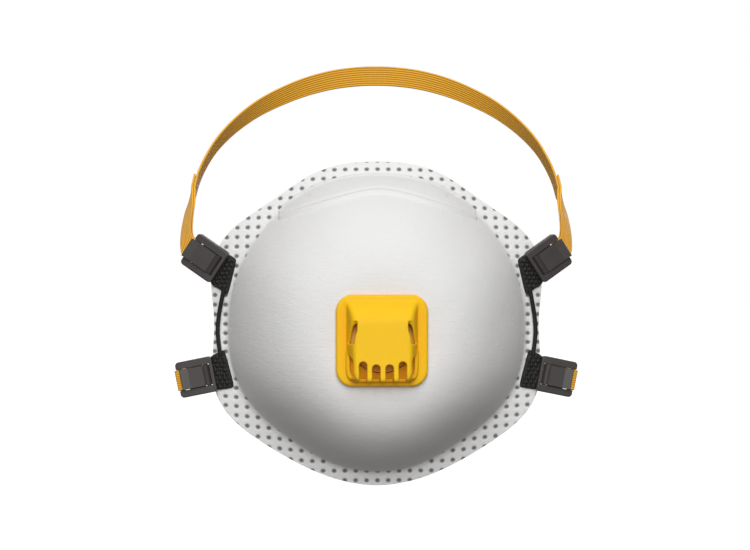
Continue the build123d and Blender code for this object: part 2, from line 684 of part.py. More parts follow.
with BuildPart() as valve_cover:
    with BuildSketch(vp.offset(0.06)):
        RectangleRounded(2 * BASE_HALF, 2 * BASE_HALF, BASE_CORNER)
    extrude(amount=BASE_T - 0.06)
    fillet(valve_cover.faces().sort_by(Axis.Y)[0].edges(), 1.0)
    extrude(hood_profile(2.0, 0.0, 0.06), amount=CAP_HALF, both=True)
    extrude(hood_profile(0.0, 0.0, 0.06), amount=HOOD_HALF, both=True)
    extrude(hood_profile(2.0, COVER_WALL, -3.0), amount=CAP_HALF - COVER_WALL, both=True, mode=Mode.SUBTRACT)
    extrude(hood_profile(0.0, COVER_WALL, -3.0), amount=HOOD_HALF - COVER_WALL, both=True, mode=Mode.SUBTRACT)
    # room for the seat and the clip under the cover
    with BuildSketch(vp.offset(-1)):
        Circle(TUBE_R + 0.25)
    extrude(amount=1 + SEAT_TOP + 1.6, mode=Mode.SUBTRACT)
    # arched front slots
    for x, top_h in ((-7.9, -8.3), (-2.7, -9.6), (2.7, -9.6), (7.9, -8.3)):
        with BuildSketch(vp.offset(9.0)):
            with BuildLine():
                Line((x - 1.6, -14.9), (x + 1.6, -14.9))
                Line((x + 1.6, -14.9), (x + 1.6, top_h - 1.6))
                ThreePointArc((x + 1.6, top_h - 1.6), (x, top_h), (x - 1.6, top_h - 1.6))
                Line((x - 1.6, top_h - 1.6), (x - 1.6, -14.9))
            make_face()
        extrude(amount=8, mode=Mode.SUBTRACT)
    # slots through the floor of the hood
    with BuildSketch(vp.offset(4.0)):
        with Locations((-7.9, -16.6), (-2.7, -16.6), (2.7, -16.6), (7.9, -16.6)):
            Rectangle(3.2, 3.0)
    extrude(amount=6.2, mode=Mode.SUBTRACT)
    # slits and openings down the sides of the hood
    for s in (-1, 1):
        with BuildSketch(vp.offset(4.5)):
            with BuildLine():
                Polyline((s * 12.6, 6.9), (s * 13.9, 6.6), (s * 13.9, -1.0), (s * 12.3, -1.0), (s * 12.6, 6.9))
            make_face()
            with BuildLine():
                Polyline((s * 12.0, -6.9), (s * 14.0, -5.2), (s * 14.0, -14.8), (s * 12.0, -14.8), (s * 12.0, -6.9))
            make_face()
        extrude(amount=9, mode=Mode.SUBTRACT)

# ------------------------------------------------------------------
# right hand pieces are mirror images
# ------------------------------------------------------------------
with BuildPart() as upper_right_buckle_frame:
    add(mirror(upper_left_buckle_frame.part, about=Plane.YZ))
with BuildPart() as lower_right_buckle_frame:
    add(mirror(lower_left_buckle_frame.part, about=Plane.YZ))
with BuildPart() as upper_right_buckle_lever:
    add(mirror(upper_left_buckle_lever.part, about=Plane.YZ))
with BuildPart() as lower_right_buckle_lever:
    add(mirror(lower_left_buckle_lever.part, about=Plane.YZ))
with BuildPart() as upper_right_pad:
    add(mirror(upper_left_pad.part, about=Plane.YZ))
with BuildPart() as lower_right_pad:
    add(mirror(lower_left_pad.part, about=Plane.YZ))
with BuildPart() as right_link_strand:
    add(mirror(left_link_strand.part, about=Plane.YZ))

NODES = {
    "outer_shell": outer_shell, "filter_layer": filter_layer, "inner_shell": inner_shell,
    "nose_clip": nose_clip, "nose_foam": nose_foam,
    "valve_cover": valve_cover, "valve_seat": valve_seat, "valve_diaphragm": valve_diaphragm,
    "diaphragm_clip": diaphragm_clip,
    "upper_left_pad": upper_left_pad, "upper_right_pad": upper_right_pad,
    "lower_left_pad": lower_left_pad, "lower_right_pad": lower_right_pad,
    "upper_left_buckle_frame": upper_left_buckle_frame, "upper_right_buckle_frame": upper_right_buckle_frame,
    "lower_left_buckle_frame": lower_left_buckle_frame, "lower_right_buckle_frame": lower_right_buckle_frame,
    "upper_left_buckle_lever": upper_left_buckle_lever, "upper_right_buckle_lever": upper_right_buckle_lever,
    "lower_left_buckle_lever": lower_left_buckle_lever, "lower_right_buckle_lever": lower_right_buckle_lever,
    "left_link_strand": left_link_strand, "right_link_strand": right_link_strand,
    "crown_strap": crown_strap, "neck_strap": neck_strap,
}
for node_name, built in NODES.items():
    built.part.label = node_name
    export_step(built.part, f"parts/{node_name}.step")
for side, pl in (("upper", up_plane), ("lower", lo_plane)):
    print("hinge axis", side, [round(-c, 6) for c in tuple(pl.y_dir)], "at",
          [round(float(c), 4) for c in local(pl, HINGE_U, HINGE_W)])
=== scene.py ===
import math

import bpy
import bmesh
import numpy as np
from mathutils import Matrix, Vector


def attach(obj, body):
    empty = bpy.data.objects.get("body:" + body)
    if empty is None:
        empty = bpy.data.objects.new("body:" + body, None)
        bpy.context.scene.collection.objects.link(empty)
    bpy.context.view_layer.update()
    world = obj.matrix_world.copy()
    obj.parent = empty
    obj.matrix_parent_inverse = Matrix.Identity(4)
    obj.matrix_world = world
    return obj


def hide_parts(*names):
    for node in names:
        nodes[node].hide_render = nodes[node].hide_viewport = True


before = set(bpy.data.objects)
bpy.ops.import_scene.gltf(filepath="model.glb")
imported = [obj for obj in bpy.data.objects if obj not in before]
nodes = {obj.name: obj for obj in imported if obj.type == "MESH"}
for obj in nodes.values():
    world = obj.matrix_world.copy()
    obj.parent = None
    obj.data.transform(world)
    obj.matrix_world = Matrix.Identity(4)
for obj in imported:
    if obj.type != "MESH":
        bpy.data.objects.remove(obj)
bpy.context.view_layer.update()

scene = bpy.context.scene
MM = 0.001

# ------------------------------------------------------------------
# the cup's surface, the same sections as in the CAD model (mm)
# ------------------------------------------------------------------
VALVE_Z, HOLE_R, FLAT_R, APEX_Y = -5.7, 13.0, 22.0, -45.5
DOME_DEG, FILLET_LEG, CROWN_HANDLE, WALL_HANDLE = 70.0, 2.2, 19.0, 21.0
D_OUT = (0.8, 0.45)
D_INNER_0, D_INNER_1 = (2.6, 0.90), (3.4, 1.35)
CUP_T = 3.4
EDGE = [(0, 69), (20.2, 66.5), (33.8, 60.2), (44.6, 52.7), (54.2, 45.3), (61, 41.3), (66.9, 35), (69.3, 28.9),
        (70.0, 20), (70.1, 13.3), (70.1, 0), (70.1, -13), (69.6, -22.9), (68, -31), (65.4, -36.6), (60.8, -41.4),
        (56.3, -45.2), (48.9, -50.2), (41.4, -55.1), (33.8, -59.4), (26.4, -62.6), (18.7, -65.7), (12.3, -67.2),
        (0, -68.6)]
BASE = [(0, 62.6), (14.9, 60.9), (26.1, 57.5), (37.8, 51.4), (45.5, 43.2), (51.0, 37), (55.0, 30.7), (59.3, 23),
        (62.6, 10.2), (63.5, -0.4), (63.1, -13.2), (60.9, -22), (57.3, -29.1), (52.6, -35.5), (47.8, -40.8),
        (43.1, -45), (32.9, -51.9), (24.4, -57), (18.3, -59.8), (9.1, -62.1), (0, -62.9)]
RIM_Y = [(0, -1.0), (25, 0.0), (50, 2.5), (75, 4.6), (95, 5.0), (120, 4.2), (140, 2.6), (160, 0.8), (180, 0.0)]
RIM_TILT = [(0, 30), (25, 28), (50, 23), (75, 15), (95, 12), (120, 12), (140, 12), (160, 12), (180, 12)]


def cos_series(samples, order, ridge=1e-3):
    a = np.array([[math.cos(k * t) for k in range(order + 1)] for t, _ in samples])
    b = np.array([v for _, v in samples])
    reg = np.diag([0.0] + [ridge * k ** 2 for k in range(1, order + 1)])
    coef = np.linalg.solve(a.T @ a + reg, a.T @ b)
    ks = np.arange(order + 1)
    return lambda t: np.cos(np.asarray(t, float)[..., None] * ks) @ coef


def polar(points):
    return [(math.atan2(x, z - VALVE_Z), math.hypot(x, z - VALVE_Z)) for x, z in points]


r_edge = cos_series(polar(EDGE), 9)
r_base = cos_series(polar(BASE), 9)
rim_y = cos_series([(math.radians(a), v) for a, v in RIM_Y], 5)
rim_tilt = cos_series([(math.radians(a), v) for a, v in RIM_TILT], 5)


def profile(theta):
    """Control points (..., 2) of the four spans for an array of angles."""
    theta = np.asarray(theta, float)
    tilt = np.radians(rim_tilt(theta))
    steep = math.radians(DOME_DEG)
    rb, re, ry = r_base(theta), r_edge(theta), rim_y(theta)
    kb = np.stack([rb, ry - np.tan(tilt) * (re - rb)], -1)
    dd = np.array([math.cos(steep), math.sin(steep)])
    fd = np.stack([np.cos(tilt), np.sin(tilt)], -1)
    p3 = kb - FILLET_LEG * dd
    q = kb + FILLET_LEG * fd
    flat = np.broadcast_to(np.array([FLAT_R, APEX_Y]), kb.shape)
    hole = np.broadcast_to(np.array([HOLE_R, APEX_Y]), kb.shape)
    end = np.stack([re, ry], -1)
    return [[hole, flat], [flat, flat + np.array([CROWN_HANDLE, 0.0]), p3 - WALL_HANDLE * dd, p3],
            [p3, kb, q], [q, end]]


def bez(ctrl, s):
    """Points and derivatives; ctrl is a list of (N, 2), s is (N,) or scalar."""
    s = np.asarray(s, float)[..., None]
    def cast(p):
        p = list(p)
        while len(p) > 1:
            p = [(1 - s) * a + s * b for a, b in zip(p[:-1], p[1:])]
        return p[0]
    n = len(ctrl) - 1
    return cast(ctrl), cast([n * (b - a) for a, b in zip(ctrl[:-1], ctrl[1:])])


def cup(theta, span, s, dome, flange):
    """Points and inward normals at matching arrays theta, s of one span."""
    theta = np.asarray(theta, float)
    s = np.broadcast_to(np.asarray(s, float), theta.shape)
    def at(t):
        p, d = bez(profile(t)[span], s)
        e = np.stack([np.sin(t), 0 * t, np.cos(t)], -1)
        pos = p[..., :1] * e + np.stack([0 * t, p[..., 1], VALVE_Z + 0 * t], -1)
        return pos, d[..., :1] * e + np.stack([0 * t, d[..., 1], 0 * t], -1)
    p, ps = at(theta)
    h = 1e-4
    pt = (at(theta + h)[0] - at(theta - h)[0]) / (2 * h)
    n = np.cross(ps, pt)
    n /= np.linalg.norm(n, axis=-1, keepdims=True)
    n = np.where(n[..., 1:2] < 0, -n, n)
    if span in (0, 1):
        k = 0.0 * s
    elif span == 3:
        k = 0.0 * s + 1.0
    else:
        k = s * s * (3 - 2 * s)
    return p + n * (dome * (1 - k) + flange * k)[..., None], n


def locate(x, z):
    """theta, span, s for arrays x, z."""
    x, z = np.asarray(x, float), np.asarray(z, float)
    theta = np.arctan2(x, z - VALVE_Z)
    r = np.hypot(x, z - VALVE_Z)
    prof = profile(theta)
    span = np.zeros(x.shape, int)
    for i in range(3):
        span = np.where(r > prof[i][-1][..., 0], i + 1, span)
    s = np.zeros(x.shape)
    for i in range(4):
        m = span == i
        if not m.any():
            continue
        ctrl = [c[m] for c in prof[i]]
        rr = r[m]
        if i in (0, 3):
            s[m] = (rr - ctrl[0][:, 0]) / (ctrl[-1][:, 0] - ctrl[0][:, 0])
        else:
            lo, hi = np.zeros(rr.shape), np.ones(rr.shape)
            for _ in range(40):
                mid = (lo + hi) / 2
                less = bez(ctrl, mid)[0][:, 0] < rr
                lo, hi = np.where(less, mid, lo), np.where(less, hi, mid)
            s[m] = (lo + hi) / 2
    return theta, span, s


def on_cup(x, z, depth):
    """Points and inward normals of the cup above (x, z) at a depth."""
    x, z = np.asarray(x, float), np.asarray(z, float)
    depth = np.broadcast_to(np.asarray(depth, float), x.shape)
    theta, span, s = locate(x, z)
    out, nn = np.zeros(x.shape + (3,)), np.zeros(x.shape + (3,))
    for i in range(4):
        m = span == i
        if m.any():
            p, n = cup(theta[m], i, s[m], 0.0, 0.0)
            out[m] = p + n * depth[m][:, None]
            nn[m] = n
    return out, nn


# ------------------------------------------------------------------
# mesh helpers
# ------------------------------------------------------------------


def new_mesh(name, verts_mm, faces, smooth=True, uvs=None, floats=None, split=None):
    me = bpy.data.meshes.new(name)
    v = np.asarray(verts_mm, float).reshape(-1, 3) * MM
    me.from_pydata(v.tolist(), [], faces)
    me.update()
    ob = bpy.data.objects.new(name, me)
    scene.collection.objects.link(ob)
    if smooth:
        me.polygons.foreach_set("use_smooth", [True] * len(me.polygons))
    loops = np.zeros(len(me.loops), np.int32)
    me.loops.foreach_get("vertex_index", loops)
    for key, data in (uvs or {}).items():
        layer = me.uv_layers.new(name=key)
        layer.data.foreach_set("uv", np.asarray(data, float).reshape(-1, 2)[loops].ravel())
    for key, data in (floats or {}).items():
        at = me.attributes.new(key, "FLOAT", "POINT")
        at.data.foreach_set("value", np.asarray(data, float).ravel())
    bm = bmesh.new()
    bm.from_mesh(me)
    bmesh.ops.recalc_face_normals(bm, faces=bm.faces)
    bm.to_mesh(me)
    bm.free()
    me.update()
    return ob


def grid_faces(nu, nv, wrap_u=False, wrap_v=False):
    faces = []
    for i in range(nu if wrap_u else nu - 1):
        i2 = (i + 1) % nu
        for j in range(nv if wrap_v else nv - 1):
            j2 = (j + 1) % nv
            faces.append((i * nv + j, i2 * nv + j, i2 * nv + j2, i * nv + j2))
    return faces


def smoothstep(a, b, x):
    t = np.clip((x - a) / (b - a), 0, 1)
    return t * t * (3 - 2 * t)


def noise2(x, z, seed, scale):
    """Cheap smooth value noise of two coordinates, repeatable."""
    rng = np.random.RandomState(seed)
    tab = rng.rand(64, 64)
    u, v = x / scale, z / scale
    iu, iv = np.floor(u).astype(int), np.floor(v).astype(int)
    fu, fv = u - iu, v - iv
    fu, fv = fu * fu * (3 - 2 * fu), fv * fv * (3 - 2 * fv)
    g = lambda a, b: tab[a % 64, b % 64]
    return ((g(iu, iv) * (1 - fu) + g(iu + 1, iv) * fu) * (1 - fv)
            + (g(iu, iv + 1) * (1 - fu) + g(iu + 1, iv + 1) * fu) * fv) * 2 - 1


# ------------------------------------------------------------------
# materials
# ------------------------------------------------------------------


def material(name):
    m = bpy.data.materials.new(name)
    m.use_nodes = True
    nt = m.node_tree
    bsdf = next(n for n in nt.nodes if n.type == "BSDF_PRINCIPLED")
    return m, nt, bsdf


def add(nt, kind, **props):
    n = nt.nodes.new(kind)
    for k, v in props.items():
        if k.startswith("_"):
            n.inputs[k[1:].replace("_", " ")].default_value = v
        else:
            setattr(n, k, v)
    return n


def ramp(nt, fac, stops):
    n = nt.nodes.new("ShaderNodeValToRGB")
    el = n.color_ramp.elements
    el[0].position, el[0].color = stops[0][0], (*stops[0][1], 1)
    el[1].position, el[1].color = stops[-1][0], (*stops[-1][1], 1)
    for p, c in stops[1:-1]:
        e = el.new(p)
        e.color = (*c, 1)
    nt.links.new(fac, n.inputs["Fac"])
    return n.outputs["Color"]


def math_node(nt, op, a, b=None, clamp=False):
    n = nt.nodes.new("ShaderNodeMath")
    n.operation = op
    n.use_clamp = clamp
    for i, v in enumerate((a, b)):
        if v is None:
            continue
        if isinstance(v, (int, float)):
            n.inputs[i].default_value = v
        else:
            nt.links.new(v, n.inputs[i])
    return n.outputs[0]


def mix_color(nt, fac, a, b, mode="MIX"):
    n = nt.nodes.new("ShaderNodeMix")
    n.data_type = "RGBA"
    n.blend_type = mode
    n.clamp_factor = True
    for key, v in ((0, fac), (6, a), (7, b)):
        if isinstance(v, (int, float)):
            n.inputs[key].default_value = v
        elif isinstance(v, tuple):
            n.inputs[key].default_value = (*v, 1)
        else:
            nt.links.new(v, n.inputs[key])
    return n.outputs[2]


def bump(nt, height, strength, distance, normal=None):
    n = nt.nodes.new("ShaderNodeBump")
    n.inputs["Strength"].default_value = strength
    n.inputs["Distance"].default_value = distance
    nt.links.new(height, n.inputs["Height"])
    if normal is not None:
        nt.links.new(normal, n.inputs["Normal"])
    return n.outputs["Normal"]


def obj_coords(nt, scale=(1, 1, 1)):
    tc = nt.nodes.new("ShaderNodeTexCoord")
    mp = nt.nodes.new("ShaderNodeMapping")
    mp.inputs["Scale"].default_value = scale
    nt.links.new(tc.outputs["Object"], mp.inputs["Vector"])
    return mp.outputs["Vector"]


def noise(nt, vec, scale, detail=3.0, rough=0.55, dist=0.0):
    n = nt.nodes.new("ShaderNodeTexNoise")
    n.inputs["Scale"].default_value = scale
    n.inputs["Detail"].default_value = detail
    n.inputs["Roughness"].default_value = rough
    n.inputs["Distortion"].default_value = dist
    nt.links.new(vec, n.inputs["Vector"])
    return n.outputs["Fac"]


def nonwoven(name, base=(0.84, 0.84, 0.835), dots=True, weld=(0.15, 0.145, 0.14), fuzz=1.0):
    m, nt, b = material(name)
    vec = obj_coords(nt)
    fib1 = noise(nt, obj_coords(nt, (1.0, 1.0, 3.2)), 1300.0, 4.0, 0.65, 1.2)
    fib2 = noise(nt, obj_coords(nt, (3.2, 1.0, 1.0)), 1100.0, 4.0, 0.65, 1.2)
    fibre = math_node(nt, "MAXIMUM", fib1, fib2)
    streak = noise(nt, obj_coords(nt, (0.35, 0.6, 1.5)), 620.0, 5.0, 0.7, 0.6)
    patchy = noise(nt, vec, 90.0, 3.0, 0.6)
    tone = mix_color(nt, patchy, tuple(c * 0.965 for c in base), base)
    tone = mix_color(nt, math_node(nt, "MULTIPLY", fibre, 0.10), tone, tuple(c * 0.80 for c in base))
    tone = mix_color(nt, math_node(nt, "MULTIPLY", streak, 0.12), tone, tuple(c * 0.72 for c in base))
    height = math_node(nt, "ADD", math_node(nt, "MULTIPLY", fibre, 0.6 * fuzz), math_node(nt, "ADD", math_node(nt, "MULTIPLY", streak, 0.9), math_node(nt, "MULTIPLY", patchy, 0.3)))
    if dots:
        uv = nt.nodes.new("ShaderNodeUVMap")
        uv.uv_map = "dots"
        sep = nt.nodes.new("ShaderNodeSeparateXYZ")
        nt.links.new(uv.outputs["UV"], sep.inputs["Vector"])
        wob = noise(nt, vec, 700.0, 2.0, 0.5)
        fx = math_node(nt, "SUBTRACT", sep.outputs["X"], math_node(nt, "ROUND", sep.outputs["X"]))
        fz = math_node(nt, "SUBTRACT", sep.outputs["Y"], math_node(nt, "ROUND", sep.outputs["Y"]))
        d = math_node(nt, "SQRT", math_node(nt, "ADD", math_node(nt, "MULTIPLY", fx, fx), math_node(nt, "MULTIPLY", fz, fz)))
        d = math_node(nt, "ADD", d, math_node(nt, "MULTIPLY", math_node(nt, "SUBTRACT", wob, 0.5), 0.07))
        at = nt.nodes.new("ShaderNodeAttribute")
        at.attribute_name = "flange"
        # 1 inside a dot, 0 outside, soft edge
        core = math_node(nt, "SUBTRACT", 1.0, math_node(nt, "DIVIDE", math_node(nt, "SUBTRACT", d, 0.135), 0.15), clamp=True)
        core = math_node(nt, "MULTIPLY", core, at.outputs["Fac"])
        tone = mix_color(nt, math_node(nt, "MULTIPLY", core, 0.96), tone, weld)
        height = math_node(nt, "MULTIPLY", height, math_node(nt, "SUBTRACT", 1.0, math_node(nt, "MULTIPLY", core, 0.8)))
    nt.links.new(tone, b.inputs["Base Color"])
    nt.links.new(bump(nt, height, 0.75, 0.00032), b.inputs["Normal"])
    b.inputs["Roughness"].default_value = 0.88
    b.inputs["Specular IOR Level"].default_value = 0.25
    b.inputs["Sheen Weight"].default_value = 0.12
    b.inputs["Sheen Roughness"].default_value = 0.6
    return m


def plastic(name, base, rough=0.4, spec=0.5, grain=0.35, sss=0.0, radius=(1, 0.4, 0.1), var=0.06, scale=1600.0,
            bump_d=0.00003):
    m, nt, b = material(name)
    vec = obj_coords(nt)
    fine = noise(nt, vec, scale, 3.0, 0.6)
    cloud = noise(nt, vec, 120.0, 3.0, 0.6)
    tone = mix_color(nt, cloud, tuple(c * (1 - var) for c in base), tuple(min(1.0, c * (1 + var)) for c in base))
    nt.links.new(tone, b.inputs["Base Color"])
    r = nt.nodes.new("ShaderNodeMapRange")
    r.inputs["To Min"].default_value = rough - 0.06
    r.inputs["To Max"].default_value = rough + 0.08
    nt.links.new(cloud, r.inputs["Value"])
    nt.links.new(r.outputs["Result"], b.inputs["Roughness"])
    nt.links.new(bump(nt, fine, grain, bump_d), b.inputs["Normal"])
    b.inputs["Specular IOR Level"].default_value = spec
    if sss:
        b.inputs["Subsurface Weight"].default_value = sss
        b.inputs["Subsurface Radius"].default_value = radius
        b.inputs["Subsurface Scale"].default_value = 0.003
    return m


def painted_shade_tint(m, painted_shade_colour, distance, amount):
    """Painted shade: a warmer, darker orange mixed into the base colour where ambient occlusion finds the surface
    closed in.
    """
    nt = m.node_tree
    b = next(n for n in nt.nodes if n.type == "BSDF_PRINCIPLED")
    link = b.inputs["Base Color"].links[0].from_socket
    ao = nt.nodes.new("ShaderNodeAmbientOcclusion")
    ao.samples = 8
    ao.inputs["Distance"].default_value = distance
    painted_shade_fac = math_node(nt, "MULTIPLY", math_node(nt, "SUBTRACT", 1.0, ao.outputs["AO"], clamp=True), amount, clamp=True)
    nt.links.new(mix_color(nt, painted_shade_fac, link, painted_shade_colour), b.inputs["Base Color"])


def strap_material(name):
    """Ribbed woven elastic; uv x runs along the strap in mm, y across it in mm."""
    m, nt, b = material(name)
    uv = nt.nodes.new("ShaderNodeUVMap")
    uv.uv_map = "strap"
    sep = nt.nodes.new("ShaderNodeSeparateXYZ")
    nt.links.new(uv.outputs["UV"], sep.inputs["Vector"])
    along, across = sep.outputs["X"], sep.outputs["Y"]
    rib = math_node(nt, "SINE", math_node(nt, "MULTIPLY", across, 2 * math.pi / 0.98))
    rib = math_node(nt, "ADD", math_node(nt, "MULTIPLY", rib, 0.5), 0.5)
    odd = math_node(nt, "PINGPONG", math_node(nt, "MULTIPLY", across, 1 / 0.98), 1.0)
    pick = math_node(nt, "SINE", math_node(nt, "ADD", math_node(nt, "MULTIPLY", along, 2 * math.pi / 0.62),
                                            math_node(nt, "MULTIPLY", odd, math.pi)))
    pick = math_node(nt, "ADD", math_node(nt, "MULTIPLY", pick, 0.5), 0.5)
    yarn = math_node(nt, "MULTIPLY", rib, math_node(nt, "ADD", math_node(nt, "MULTIPLY", pick, 0.45), 0.55))
    vec = obj_coords(nt)
    fuzz = noise(nt, vec, 2600.0, 2.0, 0.6)
    cloud = noise(nt, vec, 60.0, 3.0, 0.6)
    col = ramp(nt, yarn, [(0.0, (0.52, 0.22, 0.008)), (0.45, (0.84, 0.40, 0.020)), (1.0, (0.98, 0.52, 0.045))])
    col = mix_color(nt, math_node(nt, "MULTIPLY", cloud, 0.25), col, (0.80, 0.40, 0.02))
    nt.links.new(col, b.inputs["Base Color"])
    h = math_node(nt, "ADD", yarn, math_node(nt, "MULTIPLY", fuzz, 0.35))
    nt.links.new(bump(nt, h, 0.7, 0.00016), b.inputs["Normal"])
    b.inputs["Roughness"].default_value = 0.62
    b.inputs["Specular IOR Level"].default_value = 0.35
    b.inputs["Sheen Weight"].default_value = 0.25
    b.inputs["Sheen Roughness"].default_value = 0.45
    return m


MAT = {
    "outer": nonwoven("outer_nonwoven"),
    "inner": nonwoven("inner_nonwoven", base=(0.86, 0.86, 0.86), weld=(0.42, 0.41, 0.40), fuzz=0.7),
    "filter": nonwoven("filter_web", base=(0.88, 0.88, 0.88), dots=False, fuzz=1.4),
    "valve": plastic("valve_yellow", (0.95, 0.555, 0.010), 0.50, 0.14, 0.25, 0.30, (1.0, 0.32, 0.02), 0.02),
    "seat": plastic("seat_plastic", (0.80, 0.36, 0.012), 0.5, 0.2, 0.25, 0.0, (1, 1, 1), 0.03),
    "flap": plastic("flap_silicone", (0.74, 0.36, 0.05), 0.5, 0.3, 0.3, 0.0, (1, 0.9, 0.7), 0.04),
    "buckle": plastic("buckle_plastic", (0.046, 0.040, 0.039), 0.42, 0.5, 0.5, var=0.12, bump_d=0.00005),
    "pad": plastic("pad_rubber", (0.0125, 0.012, 0.0115), 0.62, 0.4, 0.8, var=0.2, scale=900.0, bump_d=0.00012),
    "strand": plastic("strand_elastic", (0.012, 0.011, 0.010), 0.7, 0.35, 0.9, var=0.2, scale=2400.0, bump_d=0.0001),
    "clip": plastic("clip_aluminium", (0.75, 0.76, 0.78), 0.35, 0.5, 0.3, var=0.03),
    "strap": strap_material("strap_elastic"),
}
# painted shade: ambient occlusion mixes a dark orange into the valve cover's colour in its slots and recesses
painted_shade_tint(MAT["valve"], (0.86, 0.29, 0.005), 0.006, 1.25)
MAT["clip"].node_tree.nodes["Principled BSDF"].inputs["Metallic"].default_value = 1.0


def set_mat(ob, key):
    ob.data.materials.clear()
    ob.data.materials.append(MAT[key])


# ------------------------------------------------------------------
# cup layers: one closed skin each, closed round and through the section
# ------------------------------------------------------------------
PITCH_X, PITCH_Z, ROW_Z = 4.62, 4.15, 66.2


def seam_z(x):
    """Lower edge of the raised nose band, in front view."""
    return 54.6 - 0.305 * (np.sqrt(x * x + 60.0) - 7.75)


def dot_coords(theta, r):
    tilt = np.radians(rim_tilt(theta))
    rk = r_base(theta)
    arc = (r - rk) / np.cos(tilt)
    rr = rk + arc
    x, z = rr * np.sin(theta), rr * np.cos(theta) + VALVE_Z
    # the cloth is drawn round a little at the lower corners
    low = smoothstep(5, -45, z) * smoothstep(14, 45, np.abs(x))
    z = z - 0.09 * (np.abs(x) - 30) * low
    return x / PITCH_X, (z - ROW_Z) / PITCH_Z


def cup_layer(name, front, back, n_theta, n_spans, n_back, dimple, band=False, show="front"):
    th = np.linspace(0, 2 * math.pi, n_theta, endpoint=False)
    cols, uvs, fl = [], [], []
    def put(span, s, depth, shown):
        p, n = cup(th, span, s, *depth)
        x, z = p[:, 0], p[:, 2]
        r = np.hypot(x, z - VALVE_Z)
        gx, gz = dot_coords(th, r)
        rk = r_base(th)
        up = 1.5 * smoothstep(0.6, 0.92, np.cos(th))
        w = smoothstep(rk - 0.9 + up, rk + 0.1 + up, r)
        disp = np.zeros(len(th))
        if shown:
            d = np.hypot((gx - np.round(gx)) * PITCH_X, (gz - np.round(gz)) * PITCH_Z)
            disp = disp + dimple * w * np.exp(-(d / 1.02) ** 2)
            # soft ripples of the pressed edge and slight unevenness of the cup
            disp = disp + 0.05 * noise2(x + 200, z + 200, 3, 6.0) + 0.10 * (1 - w) * noise2(x + 300, z + 300, 5, 19.0)
            if band:
                t = z - seam_z(x)
                ends = smoothstep(41.9, 41.1, np.abs(x))
                plate = smoothstep(-0.6, 0.6, t) * (1 - w)
                groove = np.exp(-((t - 2.0) / 0.45) ** 2)
                lip = np.exp(-((t - 0.9) / 0.55) ** 2)
                disp = disp - ends * (0.75 * plate + 0.28 * lip - 0.34 * groove * plate)
                # short pressed crease near each end of the band
                zc = seam_z(np.abs(x)) + 6.6 + 0.30 * (np.abs(x) - 31)
                crease = np.exp(-((z - zc) / 0.5) ** 2) * smoothstep(27.5, 29.5, np.abs(x)) * smoothstep(35.5, 33, np.abs(x))
                disp = disp + 0.45 * crease * (1 - w)
        cols.append(p + n * disp[:, None])
        uvs.append(np.stack([gx, gz], -1))
        fl.append(w)
    first, second = (front, back) if show == "front" else (back, front)
    sign = 1.0 if show == "front" else -1.0
    dimple = dimple * sign
    for span, cnt in enumerate(n_spans):
        for j in range(cnt):
            put(span, j / cnt, first, True)
    put(3, 0.985, first, True)
    mid = tuple((a + b) / 2 for a, b in zip(front, back))
    put(3, 1.0, mid, False)
    put(3, 0.985, second, False)
    for span in (3, 2, 1, 0):
        cnt = n_back[span]
        for j in range(cnt):
            put(span, 1 - (j + 1) / cnt if span != 3 else 0.985 * (1 - (j + 1) / cnt), second, False)
    P = np.stack(cols, 1)
    U = np.stack(uvs, 1)
    F = np.stack(fl, 1)
    return new_mesh(name, P, grid_faces(P.shape[0], P.shape[1], True, True), uvs={"dots": U}, floats={"flange": F})


outer = cup_layer("outer_cup", (0.0, 0.0), D_OUT, 1200, (6, 118, 10, 24), (2, 14, 3, 3), 0.36, band=True)
set_mat(outer, "outer")
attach(outer, "root"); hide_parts("outer_shell")

inner = cup_layer("inner_cup", D_INNER_0, D_INNER_1, 900, (5, 40, 8, 18), (2, 14, 3, 3), 0.20, show="back")
set_mat(inner, "inner")
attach(inner, "root"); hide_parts("inner_shell")

for name, key in (("filter_layer", "filter"), ("nose_clip", "clip"), ("valve_seat", "seat"),
                  ("diaphragm_clip", "seat"), ("valve_diaphragm", "flap")):
    set_mat(nodes[name], key)
for h in ("upper", "lower"):
    for s in ("left", "right"):
        set_mat(nodes[f"{h}_{s}_buckle_frame"], "buckle")
        set_mat(nodes[f"{h}_{s}_buckle_lever"], "buckle")

# ------------------------------------------------------------------
# valve cover: soft moulded shape, meshed from a distance field
# ------------------------------------------------------------------


def smin(a, b, k):
    h = np.clip(0.5 + 0.5 * (b - a) / k, 0, 1)
    return b * (1 - h) + a * h - k * h * (1 - h)


def smax(a, b, k):
    return -smin(-a, -b, k)


